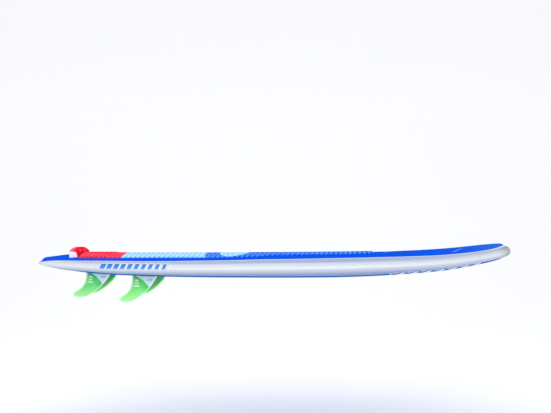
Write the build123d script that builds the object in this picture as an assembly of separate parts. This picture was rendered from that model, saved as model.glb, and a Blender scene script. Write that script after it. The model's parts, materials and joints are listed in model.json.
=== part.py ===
from build123d import *
import math
import os

import numpy as np

# Short, wide crossover board: foam core with a stringer, laminated skins, reinforced rails,
# EVA deck pads, kick block, four fins in sliding boxes, handle, mast insert, vent, leash cup.
# Millimetres. Working frame: X from mid length toward the nose, Y to the left side, Z up from
# the flat of the bottom. On export the origin moves to the centre of the mast insert's face.

# ---------------------------------------------------------------- driving dimensions
LENGTH = 2337.0
SKIN = 3.0                 # laminate thickness of deck and bottom skins
GAP = 0.2                  # glue line between hull pieces
RAIL_UPPER = 32.0          # inset of the deck / rail joint from the outline
RAIL_LOWER = 20.0          # inset of the rail / bottom joint
CREST_TAIL = 12.0          # inset where the rail curve meets the deck dome, at the tail tip
CREST_NOSE = 25.0          # the same at the nose tip
TIP_BLEND = 260.0          # length over which the tip insets grow to RAIL_UPPER
DOME_TAIL, DOME_NOSE = 24.0, 26.0      # lengths over which the deck dome grows at the tips
LOW_RISE = 9.0             # largest rise of the rail's lower joint above the bottom
TUCK_WIDTH = 45.0          # width of the bottom's upward curve inside the lower joint
RAIL_POWER = 2 / 2.15      # exponent of the superellipse of the rail section
STRINGER = 8.0             # stringer thickness
MAST_X = 60.0
HANDLE_X = -50.0
VENT_X = 560.0
LEASH_X = -1085.0

# half width of the outline: (distance from the tail tip, half width)
TAIL = [
    (0, 0), (1, 15), (4, 31), (10, 50), (20, 73), (40, 106), (80, 151), (130, 191), (200, 232),
    (300, 273), (400, 304), (500, 328), (600, 347), (750, 368), (900, 382), (1050, 391),
    (1200, 394)]
# the same from the nose tip
NOSE = [
    (0, 0), (1, 22), (4, 43), (10, 67), (20, 94), (40, 131), (70, 172), (110, 212), (160, 249),
    (230, 287), (320, 320), (430, 346), (560, 366), (720, 381), (900, 390), (1137, 394)]
# heights along the board, (x, z): bottom on the centreline
BOTTOM = [
    (-1168.5, 43), (-1104, 36), (-1033, 29), (-950, 21.5), (-850, 13), (-740, 8), (-600, 4.2),
    (-450, 1.6), (-280, 0.2), (-100, 0), (80, 0), (230, 0.6), (350, 3), (450, 6.5), (560, 12),
    (660, 18.5), (760, 26), (860, 38), (930, 48.5), (1000, 59), (1070, 69.5), (1130, 78.5),
    (1168.5, 85)]
# rail crest
CREST = [
    (-1168.5, 63), (-1131, 66.5), (-1058, 70), (-990, 72), (-900, 73.3), (-740, 74.1),
    (-600, 74.0), (-500, 75), (-400, 77), (-287, 78.8), (-175, 81.2), (-65, 84.6), (46, 86),
    (157, 87.8), (268, 89.8), (379, 92.0), (491, 94.2), (604, 96.6), (718, 99.8), (776, 102),
    (835, 105.6), (896, 110.2), (960, 115.6), (1028, 122.2), (1090, 130.5), (1168.5, 141)]
# deck on the centreline
DECK = [
    (-1168.5, 76), (-1154, 80), (-1140, 82), (-1103, 86.5), (-1063, 92), (-1000, 98),
    (-920, 101), (-800, 101), (-600, 100.2), (-300, 99.6), (0, 100.6), (200, 101.8),
    (350, 103.5), (500, 106), (620, 110.5), (740, 116.5), (840, 123), (940, 132.5),
    (1000, 139.4), (1060, 146), (1110, 150), (1168.5, 151.5)]
# x of the hull's loft sections
STATIONS = [
    -1166.8, -1163.5, -1159.5, -1154, -1147, -1138, -1126, -1110, -1087, -1055, -1015, -965,
    -905, -835, -755, -665, -570, -470, -370, -270, -170, -70, 30, 130, 230, 330, 425, 515, 600,
    680, 755, 825, 885, 940, 985, 1025, 1060, 1087, 1110, 1126, 1138, 1147, 1154, 1159.5,
    1163.5, 1166.8]
# spline points of a section, as fractions of the way from centreline to rail
FRACTIONS = [0, 0.14, 0.28, 0.42, 0.56, 0.68, 0.77, 0.84, 0.885, 0.92, 0.947, 0.968, 0.985, 1.0]


# ---------------------------------------------------------------- curve helpers
def end_slope(h0, h1, d0, d1):
    """End slope of the monotone cubic from the two nearest steps and their slopes."""
    slope = ((2 * h0 + h1) * d0 - h0 * d1) / (h0 + h1)
    if slope * d0 <= 0:
        return 0.0
    if d0 * d1 <= 0 and abs(slope) > 3 * abs(d0):
        return 3 * d0
    return slope


def pchip(xs, ys, x):
    """Monotone cubic through the points xs, ys, held constant beyond the ends."""
    xs, ys, x = np.asarray(xs, float), np.asarray(ys, float), np.asarray(x, float)
    h = np.diff(xs)
    d = np.diff(ys) / h
    m = np.zeros(len(xs))
    for i in range(1, len(xs) - 1):
        if d[i - 1] * d[i] > 0:
            w1, w2 = 2 * h[i] + h[i - 1], h[i] + 2 * h[i - 1]
            m[i] = (w1 + w2) / (w1 / d[i - 1] + w2 / d[i])
    m[0] = end_slope(h[0], h[1], d[0], d[1])
    m[-1] = end_slope(h[-1], h[-2], d[-1], d[-2])
    x = np.clip(x, xs[0], xs[-1])
    i = np.clip(np.searchsorted(xs, x) - 1, 0, len(xs) - 2)
    t = (x - xs[i]) / h[i]
    return (ys[i] * (1 + 2 * t) * (1 - t) ** 2 + h[i] * m[i] * t * (1 - t) ** 2
            + ys[i + 1] * t * t * (3 - 2 * t) + h[i] * m[i + 1] * t * t * (t - 1))


def table(rows, x):
    columns = np.array(rows, float).T
    return pchip(columns[0], columns[1], x)


def path_length(x, y):
    """Running length along a polyline."""
    return np.r_[0, np.cumsum(np.hypot(np.diff(x), np.diff(y)))]


def smoothed(values, count, sign=1):
    """Moving average over count values; sign -1 for values that flip across the tips."""
    padded = np.r_[sign * values[count:0:-1], values, sign * values[-2:-count - 2:-1]]
    return np.convolve(padded, np.ones(count) / count, "same")[count:-count]


def ramp(t):
    t = np.clip(t, 0, 1)
    return t * t * (3 - 2 * t)


# ---------------------------------------------------------------- curves of the hull
def z_bottom(x):
    return table(BOTTOM, x)


def z_crest(x):
    return table(CREST, x)


def z_deck(x):
    return table(DECK, x)


def half_width(x):
    """Half width of the outline; the square root lets the tables round off the tips."""
    tail_reach, nose_reach = TAIL[-1][0], NOSE[-1][0]
    tail_d, tail_w = np.array(TAIL, float).T
    nose_d, nose_w = np.array(NOSE, float).T
    from_tail = np.clip(x + LENGTH / 2, 0, tail_reach)
    from_nose = np.clip(LENGTH / 2 - x, 0, nose_reach)
    tail_half = pchip(np.sqrt(tail_d), tail_w, np.sqrt(from_tail))
    nose_half = pchip(np.sqrt(nose_d), nose_w, np.sqrt(from_nose))
    return np.where(x + LENGTH / 2 < tail_reach, tail_half, nose_half)


def make_outline(count=3000):
    """Left half outline from tail to nose, even in arc length, with its outward normal."""
    x = -LENGTH / 2 * np.cos(np.linspace(0, np.pi, count))
    y = half_width(x)
    length = path_length(x, y)
    even = np.linspace(0, length[-1], count)
    x, y = np.interp(even, length, x), np.interp(even, length, y)
    tangent_x = smoothed(np.gradient(x), 15)
    tangent_y = smoothed(np.gradient(y), 15, sign=-1)
    size = np.hypot(tangent_x, tangent_y)
    normal_x, normal_y = -tangent_y / size, tangent_x / size
    normal_x[0], normal_y[0], normal_x[-1], normal_y[-1] = -1, 0, 1, 0
    return x, y, normal_x, normal_y


OUT_X, OUT_Y, NORMAL_X, NORMAL_Y = make_outline()


def inset_line(inset):
    """The half outline moved inward, kept on the left of the centreline."""
    return OUT_X - NORMAL_X * inset, np.maximum(OUT_Y - NORMAL_Y * inset, 0)


def crest_inset(x):
    """Inset of the rail crest line from the outline; smaller round the tips."""
    tail = CREST_TAIL + (RAIL_UPPER - CREST_TAIL) * ramp((x + LENGTH / 2) / TIP_BLEND)
    nose = CREST_NOSE + (RAIL_UPPER - CREST_NOSE) * ramp((LENGTH / 2 - x) / TIP_BLEND)
    return np.minimum(tail, nose)


def low_rise(x):
    """How far the rail's lower joint stands above the centreline of the bottom."""
    return np.minimum(LOW_RISE, (z_crest(x) - z_bottom(x)) * 0.16)


CREST_INSET = crest_inset(OUT_X)
CREST_X, CREST_Y = inset_line(CREST_INSET)
CREST_Z = z_crest(OUT_X)
JOINT_X, JOINT_Y = inset_line(RAIL_LOWER)          # lower joint of the rail
JOINT_Z = z_bottom(OUT_X) + low_rise(OUT_X)


def dome_height(x):
    """Height of the deck's centreline above the rail crest."""
    return z_deck(x) - np.interp(x, CREST_X, CREST_Z)


def dome_gain(x):
    """Lets the deck dome grow from nothing at the tips of the crest line."""
    tail = np.clip((x - CREST_X[0]) / DOME_TAIL, 0, 1)
    nose = np.clip((CREST_X[-1] - x) / DOME_NOSE, 0, 1)
    return (1 - (1 - tail) ** 2) * (1 - (1 - nose) ** 2)


def deck_dome(x, y, crest_half):
    """Deck height inside the crest line, whose half width at x is crest_half."""
    rise = dome_height(x) * dome_gain(x)
    return np.interp(x, CREST_X, CREST_Z) + rise * (1 - (y / np.maximum(crest_half, 1e-6)) ** 2)


def crest_slope():
    """Slope of the deck dome where it meets the rail, along the crest line."""
    rise = dome_height(CREST_X) * dome_gain(CREST_X)
    slope = 2 * rise / np.maximum(CREST_Y, 1e-3) / np.maximum(NORMAL_Y, 0.05)
    tail_tip = 2 * dome_height(CREST_X[0]) / DOME_TAIL
    nose_tip = 2 * dome_height(CREST_X[-1]) / DOME_NOSE
    slope = np.where(CREST_Y < 12, np.where(CREST_X < 0, tail_tip, nose_tip), slope)
    return np.clip(smoothed(slope, 61), 0, 0.9)


CREST_SLOPE = crest_slope()


def rail_curve(level):
    """A line of the rail along the board: level 0 crest, 0.5 outline, 1 lower joint."""
    bottom, crest = z_bottom(OUT_X), z_crest(OUT_X)
    rise = low_rise(OUT_X)
    mid = bottom + 0.5 * (crest - bottom)
    if level <= 0.5:
        angle = (1 - level / 0.5) * math.pi / 2
        inset = CREST_INSET * (1 - max(math.cos(angle), 0) ** RAIL_POWER)
        z = (mid + (crest - mid) * math.sin(angle) ** RAIL_POWER
             - CREST_SLOPE * (CREST_INSET - inset) * (inset / CREST_INSET) ** 2)
    else:
        angle = (level - 0.5) / 0.5 * math.pi / 2
        inset = RAIL_LOWER * (1 - max(math.cos(angle), 0) ** RAIL_POWER)
        # the last term brings the curve into the slope of the bottom's tuck
        z = (mid - (mid - bottom - rise) * math.sin(angle) ** RAIL_POWER
             + 0.4 * (rise / LOW_RISE) * (RAIL_LOWER - inset) * (inset / RAIL_LOWER) ** 2)
    return *inset_line(inset), z


UPPER_LEVELS = [rail_curve(level) for level in np.linspace(0, 0.5, 25)]
LOWER_LEVELS = [rail_curve(level) for level in np.linspace(1, 0.5, 25)]


def bottom_height(x, y):
    """Underside inside the lower rail joint, rising into the tuck near it."""
    across = np.maximum(np.interp(x, JOINT_X, JOINT_Y) - np.abs(y), 0)
    half = len(JOINT_X) // 2
    tail_x = np.interp(np.abs(y), JOINT_Y[:half], JOINT_X[:half])
    nose_x = np.interp(np.abs(y), JOINT_Y[:half - 1:-1], JOINT_X[:half - 1:-1])
    along = np.maximum(np.minimum(x - tail_x, nose_x - x), 0)
    distance = along * across / np.maximum(np.hypot(along, across), 1e-6)
    tuck = np.clip(1 - distance / TUCK_WIDTH, 0, 1) ** 2
    return z_bottom(x) + (np.interp(x, JOINT_X, JOINT_Z) - z_bottom(x)) * tuck


# ---------------------------------------------------------------- hull solid
def level_points(levels, x):
    """Points (y, z) of the rail lines at x, inner to outer.

    Where some lines end short of x, a point on the centreline comes first."""
    points, tips = [], []
    for line_x, line_y, line_z in levels:
        if line_x[0] < x < line_x[-1]:
            points.append((float(np.interp(x, line_x, line_y)),
                           float(np.interp(x, line_x, line_z))))
        end = 0 if x < 0 else -1
        tips.append((float(line_x[end]), float(line_z[end])))
    if len(points) < len(levels):
        tip_x, tip_z = np.array(tips).T
        order = np.argsort(tip_x)
        points.insert(0, (0.0, float(np.interp(x, tip_x[order], tip_z[order]))))
    return points


def resample(points):
    """Points of a polyline at FRACTIONS of its length."""
    p = np.array(points)
    keep = np.r_[True, np.hypot(*np.diff(p, axis=0).T) > 1e-6]
    p = p[keep]
    length = path_length(p[:, 0], p[:, 1])
    wanted = np.array(FRACTIONS) * length[-1]
    return np.c_[np.interp(wanted, length, p[:, 0]), np.interp(wanted, length, p[:, 1])]


def half_profiles(x):
    """Upper and lower half profiles of the hull at x, centreline to rail."""
    upper = level_points(UPPER_LEVELS, x)
    half = upper[0][0]
    if half > 0:
        ys = np.linspace(0, half, 60)[:-1]
        upper = [(float(y), float(deck_dome(x, y, half))) for y in ys] + upper
    lower = level_points(LOWER_LEVELS, x)
    half = lower[0][0]
    if half > 0:
        ys = np.linspace(0, half, 90)[:-1]
        lower = [(float(y), float(bottom_height(x, y))) for y in ys] + lower
    return resample(upper), resample(lower)


PARAMETERS = [(1 - f) / 2 for f in FRACTIONS[::-1]] + [0.5 + f / 2 for f in FRACTIONS[1:]]


def section_face(x):
    """Hull section: an upper and a lower spline, both upright where they meet at the rails."""
    upper, lower = half_profiles(x)
    edges = []
    for half, sign in ((upper, 1), (lower, -1)):
        points = [Vector(x, y, z) for y, z in half[::-1]]
        points += [Vector(x, -y, z) for y, z in half[1:]]
        speed = 2 * float(np.hypot(*np.diff(half, axis=0).T).sum())
        tangents = [Vector(0, 0, sign * speed), Vector(0, 0, -sign * speed)]
        edges.append(Edge.make_spline(points, tangents=tangents, parameters=PARAMETERS,
                                      scale=False))
    return Face(Wire(edges))


HULL = loft([section_face(x) for x in STATIONS], ruled=True)


def shifted(dz):
    """The hull moved up; its surface trims skins and pads."""
    return HULL.moved(Location((0, 0, dz)))


# ---------------------------------------------------------------- shape helpers
def inset_prism(inset, z0=-80.0, height=400.0, count=70):
    """Vertical prism on the outline moved inward."""
    line_x, line_y = inset_line(inset)
    length = path_length(line_x, line_y)
    # spaced by arc length, closer round the tips
    spacing = (1 - np.cos(np.linspace(0, math.pi, count))) / 2
    spacing = 0.35 * spacing + 0.65 * np.linspace(0, 1, count)
    wanted = spacing * length[-1]
    xs, ys = np.interp(wanted, length, line_x), np.interp(wanted, length, line_y)
    points = [Vector(x, y, z0) for x, y in zip(xs, ys)]
    points += [Vector(x, -y, z0) for x, y in zip(xs[-2:0:-1], ys[-2:0:-1])]
    face = Face(Wire([Edge.make_spline(points, periodic=True)]))
    return extrude(face, amount=height, dir=(0, 0, 1))


def solid(shape):
    """The one solid wanted out of a boolean result: the largest."""
    return max(shape.solids(), key=lambda s: s.volume)


def block(x0, x1, y0, y1, z0, z1):
    box = Box(x1 - x0, y1 - y0, z1 - z0, align=(Align.MIN,) * 3)
    return box.moved(Location((x0, y0, z0)))


def side_block(side, offset):
    """Everything on one side of the board, from offset outward."""
    y0, y1 = (offset, 500) if side == "left" else (-500, -offset)
    return block(-1300, 1300, y0, y1, -100, 300)


def tube(radius, z0, z1, x=0.0):
    """Upright cylinder on the centreline."""
    cylinder = Cylinder(radius, z1 - z0, align=(Align.CENTER, Align.CENTER, Align.MIN))
    return cylinder.moved(Location((x, 0, z0)))


def cross_rod(radius, length, x, z):
    """Cylinder lying across, centred on y 0."""
    return Rot(90, 0, 0) * Cylinder(radius, length).moved(Location((x, z, 0)))


def slot_prism(length, width, z0, z1, radius, x=0.0):
    """Prism of a rectangle with rounded corners, on the centreline."""
    outline = Rectangle(length, width)
    outline = fillet(outline.vertices(), radius)
    return extrude(outline, amount=z1 - z0).moved(Location((x, 0, z0)))


def hexagon(radius, z, height, x):
    return extrude(RegularPolygon(radius, 6), amount=height).moved(Location((x, 0, z)))


def deck_frame(x):
    """Frame on the deck's centreline at x, tilted to the deck."""
    tilt = math.degrees(math.atan2(float(z_deck(x + 20) - z_deck(x - 20)), 40))
    return Location((x, 0, float(z_deck(x)))) * Rot(0, -tilt, 0)


pieces = {}

# ---------------------------------------------------------------- fins and their boxes
# In the fin's own frame: x along the slot toward the nose, y across, z up into the board,
# z 0 at the bottom surface.
FIN_PLACES_XY = {"front": (-610.5, 230.0), "rear": (-849.5, 120.0)}
FIN_TOE, FIN_CANT = 2.5, 5.0           # degrees
FIN_T = 7.6                            # blade thickness at the root
TAB_T = 9.0
TAB_X0, TAB_X1 = -58, 57
SLOT_L, SLOT_W, SLOT_DEPTH, SLOT_R = 166.0, 9.4, 22.0, 4.5
BOX_L, BOX_W, BOX_H, BOX_R = 184.0, 25.0, 27.0, 8
GROOVE_W, GROOVE_Z0, GROOVE_Z1 = 17.0, 11.6, 17.4
GROOVE_FIT_W = GROOVE_W - 1.0          # length of pin and nut across the groove
BLOCK_L, BLOCK_W, BLOCK_R = BOX_L + 44, BOX_W + 40, 20     # foam block round the box
PIN_R, PIN_X, PIN_Z = 2.5, -48, (GROOVE_Z0 + GROOVE_Z1) / 2
SCREW_R, SCREW_X = 1.6, 63.5

# blade outline: (z, trailing edge x, leading edge x)
FIN_ROWS = [
    (0, -59.5, 59.5), (-14, -59.0, 52.3), (-29, -59.2, 43.4), (-44, -60.6, 34.0),
    (-59, -65.2, 23.4), (-74, -73.4, 11.4), (-88, -86.8, -4.2), (-99, -101.5, -18.0),
    (-108, -112.6, -30.4), (-115, -115.6, -42.0), (-120.5, -113.4, -54.0),
    (-124.6, -106.5, -65.0), (-126.6, -99.0, -73.0)]
# curved face of the foil: (part of chord from the leading edge, part of thickness, parameter)
FOIL = [
    (0.0, 0.0, 0), (0.03, 0.30, 0.06), (0.12, 0.66, 0.17), (0.30, 0.97, 0.34),
    (0.45, 1.0, 0.47), (0.65, 0.84, 0.66), (0.85, 0.46, 0.85), (1.0, 0.10, 1.0)]


def foil(z, trailing, leading, thickness):
    """Foil section: flat face at -y, curved face toward +y."""
    chord = leading - trailing
    flat_y = -thickness * 0.45
    curve = [Vector(leading - u * chord, flat_y + v * thickness, z) for u, v, _ in FOIL]
    corner = Vector(trailing, flat_y, z)
    return Face(Wire([
        Edge.make_spline(curve, parameters=[row[2] for row in FOIL]),
        Edge.make_line(curve[-1], corner),
        Edge.make_line(corner, curve[0])]))


def fin_blade():
    faces = []
    for z, trailing, leading in FIN_ROWS:
        k = z / FIN_ROWS[-1][0]
        thickness = FIN_T * (1 - 0.45 * k - 0.30 * k ** 4)
        thickness = min(thickness, 0.30 * (leading - trailing))
        faces.append(foil(z, trailing, leading, thickness))
    return loft(faces)


def fin():
    """Blade and tab; a tongue at the nose end of the tab takes the screw."""
    blade = fin_blade()
    tab = block(TAB_X0, TAB_X1, -TAB_T / 2, TAB_T / 2, 0.0, 20.0)
    tab += block(TAB_X1, 70, -TAB_T / 2, TAB_T / 2, 4.5, 11.2)
    tab -= cross_rod(PIN_R + 0.05, 40, PIN_X, PIN_Z)
    tab -= tube(SCREW_R + 0.45, 0, 20, SCREW_X)
    tab -= tube(3.9, 3.0, 6.6, SCREW_X)
    return solid(blade + tab)


def fin_nut():
    half = GROOVE_FIT_W / 2
    plate = block(SCREW_X - 6, SCREW_X + 6, -half, half, 12.2, 15.4)
    return plate - tube(SCREW_R + 0.05, 10, 18, SCREW_X)


def fin_screw():
    """Screw with its slotted head downward."""
    screw = tube(SCREW_R, 6.0, 19.0, SCREW_X) + tube(3.6, 3.6, 6.4, SCREW_X)
    return screw - block(SCREW_X - 4, SCREW_X + 4, -0.45, 0.45, 3.0, 4.7)


def fin_box():
    """Box with a slot, side grooves and a wider opening at mid length."""
    box = slot_prism(BOX_L, BOX_W, -6, BOX_H, BOX_R)
    box -= slot_prism(SLOT_L, SLOT_W, -8, SLOT_DEPTH, SLOT_R)
    box -= slot_prism(SLOT_L, GROOVE_W, GROOVE_Z0, GROOVE_Z1, SLOT_R)
    box -= slot_prism(15, GROOVE_W, -8, GROOVE_Z1, 3)
    return box


def fin_place(x, y, sign):
    """Fin frame on the bottom, toed in and canted outward; sign 1 left, -1 right."""
    reach = 60
    z_aft, z_fore = float(bottom_height(x - reach, y)), float(bottom_height(x + reach, y))
    pitch = -math.degrees(math.atan2(z_fore - z_aft, 2 * reach))
    return (Location((x, sign * y, (z_aft + z_fore) / 2)) * Rot(0, 0, -sign * FIN_TOE)
            * Rot(0, pitch, 0) * Rot(sign * FIN_CANT, 0, 0))


FIN_PLACES = {
    f"{where}_{side}": fin_place(x, y, sign)
    for where, (x, y) in FIN_PLACES_XY.items()
    for side, sign in (("right", -1), ("left", 1))}
BOX_POCKET = slot_prism(BOX_L + 2 * GAP, BOX_W + 2 * GAP, -8, BOX_H + GAP, BOX_R + GAP)
BLOCK_BODY = slot_prism(BLOCK_L, BLOCK_W, -30, 200, BLOCK_R)
BLOCK_POCKET = slot_prism(BLOCK_L + 2 * GAP, BLOCK_W + 2 * GAP, -30, 200, BLOCK_R + GAP)


def add_fins():
    blade, box = fin(), fin_box()
    fittings = {
        "pin": cross_rod(PIN_R, GROOVE_FIT_W, PIN_X, PIN_Z),
        "nut": fin_nut(),
        "screw": fin_screw()}
    for name, place in FIN_PLACES.items():
        pieces["fin_box_" + name] = solid(box.moved(place) & HULL)
        # the flat face of each blade looks at the centreline
        handed = blade if name.endswith("left") else mirror(blade, about=Plane.XZ)
        pieces["fin_" + name] = handed.moved(place)
        for part, shape in fittings.items():
            pieces[f"fin_{part}_{name}"] = shape.moved(place)


add_fins()

# ---------------------------------------------------------------- handle
# a moulded cup with a bar along its mouth
HANDLE_L, HANDLE_W, HANDLE_D, HANDLE_R, HANDLE_WALL = 128.0, 58.0, 36.0, 16, 2.5
HANDLE_TOP = float(z_deck(HANDLE_X))
CUP_FLOOR = HANDLE_TOP - HANDLE_D
GRIP_L, GRIP_W = HANDLE_L - 2 * (HANDLE_WALL + 0.2), 24.0
GRIP_FLOOR = HANDLE_TOP - 15.0
GRIP_RECESS = 0.6                      # the bar's top below the deck surface


def handle_cup():
    cup = slot_prism(HANDLE_L, HANDLE_W, CUP_FLOOR, HANDLE_TOP + 40, HANDLE_R, HANDLE_X)
    cup -= slot_prism(HANDLE_L - 2 * HANDLE_WALL, HANDLE_W - 2 * HANDLE_WALL,
                      CUP_FLOOR + HANDLE_WALL, HANDLE_TOP + 50, HANDLE_R - HANDLE_WALL, HANDLE_X)
    return solid(cup & HULL)


def handle_grip():
    grip = slot_prism(GRIP_L, GRIP_W, GRIP_FLOOR, HANDLE_TOP + 30, 6, HANDLE_X)
    grip = solid(grip & shifted(-GRIP_RECESS))
    long_lower_edges = [e for e in grip.edges()
                        if abs((e @ 0.5).Z - GRIP_FLOOR) < 0.01 and e.length > 60]
    return fillet(long_lower_edges, 5.0)


pieces["handle_cup"] = handle_cup()
pieces["handle_grip"] = handle_grip()

# ---------------------------------------------------------------- mast insert
MAST_TOP = float(z_deck(MAST_X))
INSERT_R, INSERT_DEPTH = 14.0, 30
MAST_BLOCK_R = 46.0                    # foam block through the core
MAST_NUT_R, MAST_NUT_H, MAST_NUT_PLAY = 7.4, 20.0, 0.2


def mast_insert():
    insert = tube(INSERT_R, MAST_TOP - INSERT_DEPTH, MAST_TOP, MAST_X)
    insert -= tube(3.7, MAST_TOP - 26, MAST_TOP + 1, MAST_X)
    insert -= hexagon(MAST_NUT_R + MAST_NUT_PLAY, MAST_TOP - MAST_NUT_H - MAST_NUT_PLAY,
                      22.0, MAST_X)
    return solid(insert)


def mast_nut():
    nut = hexagon(MAST_NUT_R, MAST_TOP - MAST_NUT_H, MAST_NUT_H, MAST_X)
    return solid(nut - tube(3.4, MAST_TOP - 30, MAST_TOP + 5, MAST_X))


pieces["mast_insert"] = mast_insert()
pieces["mast_nut"] = mast_nut()

# ---------------------------------------------------------------- vent
# housing set in the deck, a disc on its floor, a plug on an O-ring; z 0 is the deck surface
VENT = deck_frame(VENT_X)
VENT_R, VENT_DEPTH = 17, 24


def vent_housing():
    housing = (tube(VENT_R, -VENT_DEPTH, 0) - tube(12.6, -4.4, 1) - tube(8.05, -19, 0)
               - tube(2.0, -30, 0))
    return solid(housing.moved(VENT))


def vent_plug():
    """Stepped plug with a slot across its top, hollow from below."""
    plug = tube(12.4, -2.7, -0.5) + tube(7.95, -14, -2.7)
    plug -= block(-8, 8, -1.1, 1.1, -2.0, 1)
    plug -= tube(3.0, -15, -4.2)
    return solid(plug.moved(VENT))


pieces["vent_housing"] = vent_housing()
pieces["vent_membrane"] = tube(7.9, -18.8, -18.2).moved(VENT)
pieces["vent_plug"] = vent_plug()
pieces["vent_oring"] = Torus(10.2, 0.75).moved(Location((0, 0, -3.5))).moved(VENT)

# ---------------------------------------------------------------- leash cup
LEASH = deck_frame(LEASH_X)
LEASH_R, LEASH_DEPTH = 19, 26
LEASH_BAR_R, LEASH_BAR_L, LEASH_BAR_Z = 2.5, 34.0, -7.5


def leash_cup():
    cup = tube(LEASH_R, -LEASH_DEPTH, 2) - tube(16, -22, 4)
    cup -= cross_rod(LEASH_BAR_R + 0.05, LEASH_BAR_L + 0.4, 0, LEASH_BAR_Z)
    return solid(cup.moved(LEASH) & HULL)


pieces["leash_cup"] = leash_cup()
pieces["leash_bar"] = cross_rod(LEASH_BAR_R, LEASH_BAR_L, 0, LEASH_BAR_Z).moved(LEASH)


# ---------------------------------------------------------------- skins, rails and core
def fitting_pockets(mast_pocket):
    """Cuts for the handle, the mast fitting, the vent and the leash cup."""
    return [
        slot_prism(HANDLE_L + 2 * GAP, HANDLE_W + 2 * GAP, CUP_FLOOR - GAP, HANDLE_TOP + 60,
                   HANDLE_R, HANDLE_X),
        mast_pocket,
        tube(VENT_R + GAP, -VENT_DEPTH - GAP, 40).moved(VENT),
        tube(LEASH_R + GAP, -LEASH_DEPTH - GAP, 40).moved(LEASH)]


def deck_skin():
    skin = (inset_prism(RAIL_UPPER) & HULL) - shifted(-SKIN)
    for pocket in fitting_pockets(tube(INSERT_R + GAP, MAST_TOP - 60, 200, MAST_X)):
        skin = skin - pocket
    return solid(skin)


def bottom_skin():
    skin = (inset_prism(RAIL_LOWER) & HULL) - shifted(SKIN)
    for place in FIN_PLACES.values():
        skin = skin - BOX_POCKET.moved(place)
    return solid(skin)


def add_rails():
    rails = ((HULL - inset_prism(RAIL_UPPER - GAP))
             - (inset_prism(RAIL_LOWER - GAP) - shifted(SKIN + GAP)))
    for side in ("left", "right"):
        pieces["rail_" + side] = solid(rails & side_block(side, GAP / 2))


def add_core():
    """Everything between the skins: mast block, fin blocks, foam halves and stringer."""
    core = (shifted(-SKIN - GAP) & inset_prism(RAIL_UPPER + GAP)) & shifted(SKIN + GAP)
    mast_block = core & tube(MAST_BLOCK_R, -50, 200, MAST_X)
    mast_block -= tube(INSERT_R + GAP, MAST_TOP - INSERT_DEPTH - GAP, 200, MAST_X)
    pieces["mast_block"] = solid(mast_block)

    for pocket in fitting_pockets(tube(MAST_BLOCK_R + GAP, -60, 200, MAST_X)):
        core = core - pocket
    whole = core
    for name, place in FIN_PLACES.items():
        fin_block = (whole & BLOCK_BODY.moved(place)) - BOX_POCKET.moved(place)
        pieces["fin_block_" + name] = solid(fin_block)
        core = core - BLOCK_POCKET.moved(place)

    for side in ("left", "right"):
        pieces["core_" + side] = solid(core & side_block(side, STRINGER / 2 + GAP / 2))
    # the fittings cut the stringer into pieces; the ones at the two ends are kept
    stringer = core & block(-1300, 1300, -STRINGER / 2, STRINGER / 2, -100, 300)
    lengths = sorted(stringer.solids(), key=lambda s: s.center().X)
    pieces["stringer_tail"], pieces["stringer_nose"] = lengths[0], lengths[-1]


pieces["deck_skin"] = deck_skin()
pieces["bottom_skin"] = bottom_skin()
add_rails()
add_core()

# ---------------------------------------------------------------- EVA deck pads
PAD = 5.0                              # EVA sheet
TAIL_PAD, TAIL_PAD_X = 8.4, -792.0     # the tail pad is thicker behind this line
PAD_GAP = 0.1                          # glue line under and between EVA sheets
PAD_SEAM = 1.0                         # open seam between neighbouring pads
TAIL_PAD_END, MID_PAD_END = -727.0, -325.0
PAD_X0, PAD_X1 = -936, 490.5
PAD_SIDE_END = 478.0                   # end of the pad's side curve
# side edge of the pads: (x, half width)
PAD_EDGE = [
    (-936, 166.5), (-929, 168.5), (-883, 183), (-832, 195), (-734, 212), (-638, 221),
    (-542, 228), (-446, 239), (-350, 249), (-279, 255), (-205, 259), (-150, 256), (-100, 243),
    (-68, 231), (-20, 208), (27, 193), (123, 181), (220, 169), (317, 160), (400, 155),
    (449, 150), (475, 128)]
# nose end of the pads: (x, half width)
PAD_END = [(489.5, 75.0), (PAD_X1, 40.0), (PAD_X1, 0.0)]
# left half of the curved band laid across the front pad: (x, y)
INLAY = [
    (-270, 0), (-268, 50), (-263, 110), (-252, 180), (-238, 225), (-222, 247), (-205, 253.5),
    (-192, 240), (-180, 212), (-160, 180), (-140, 120), (-129, 60), (-126, 0)]


def closed_prism(half, z0=40.0, height=160.0):
    """Prism on a half outline given from the centreline round to the centreline."""
    points = [Vector(x, y, z0) for x, y in half]
    points += [Vector(x, -y, z0) for x, y in half[::-1] if y > 1e-9]
    return extrude(Face(Wire.make_polygon(points, close=True)), amount=height, dir=(0, 0, 1))


def pad_half():
    """Half outline of all the pads together."""
    xs = np.linspace(PAD_X0, PAD_SIDE_END, 60)
    side = [(float(x), float(y)) for x, y in zip(xs, table(PAD_EDGE, xs))]
    return [(PAD_X0, 0.0)] + side + PAD_END


def inlay_half(grow=0.0):
    """Smoothed half outline of the inlay, moved outward by grow."""
    a = np.array(INLAY, float)
    length = path_length(a[:, 0], a[:, 1])
    t = np.linspace(0, length[-1], 60)
    p = np.c_[pchip(length, a[:, 0], t), pchip(length, a[:, 1], t)]
    if grow:
        d = np.gradient(p, axis=0)
        d /= np.hypot(d[:, 0], d[:, 1])[:, None]
        p = p + grow * np.c_[-d[:, 1], d[:, 0]]
        p[:, 1] = np.maximum(p[:, 1], 0)
        p[0, 1] = p[-1, 1] = 0
    return [(float(x), float(y)) for x, y in p]


def eva_sheet(thickness):
    """A sheet lying on the deck over the whole pad outline."""
    return solid(shifted(thickness + PAD_GAP) & closed_prism(pad_half())) - shifted(PAD_GAP)


def strip(x0, x1):
    return block(x0, x1, -400, 400, 0, 200)


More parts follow.
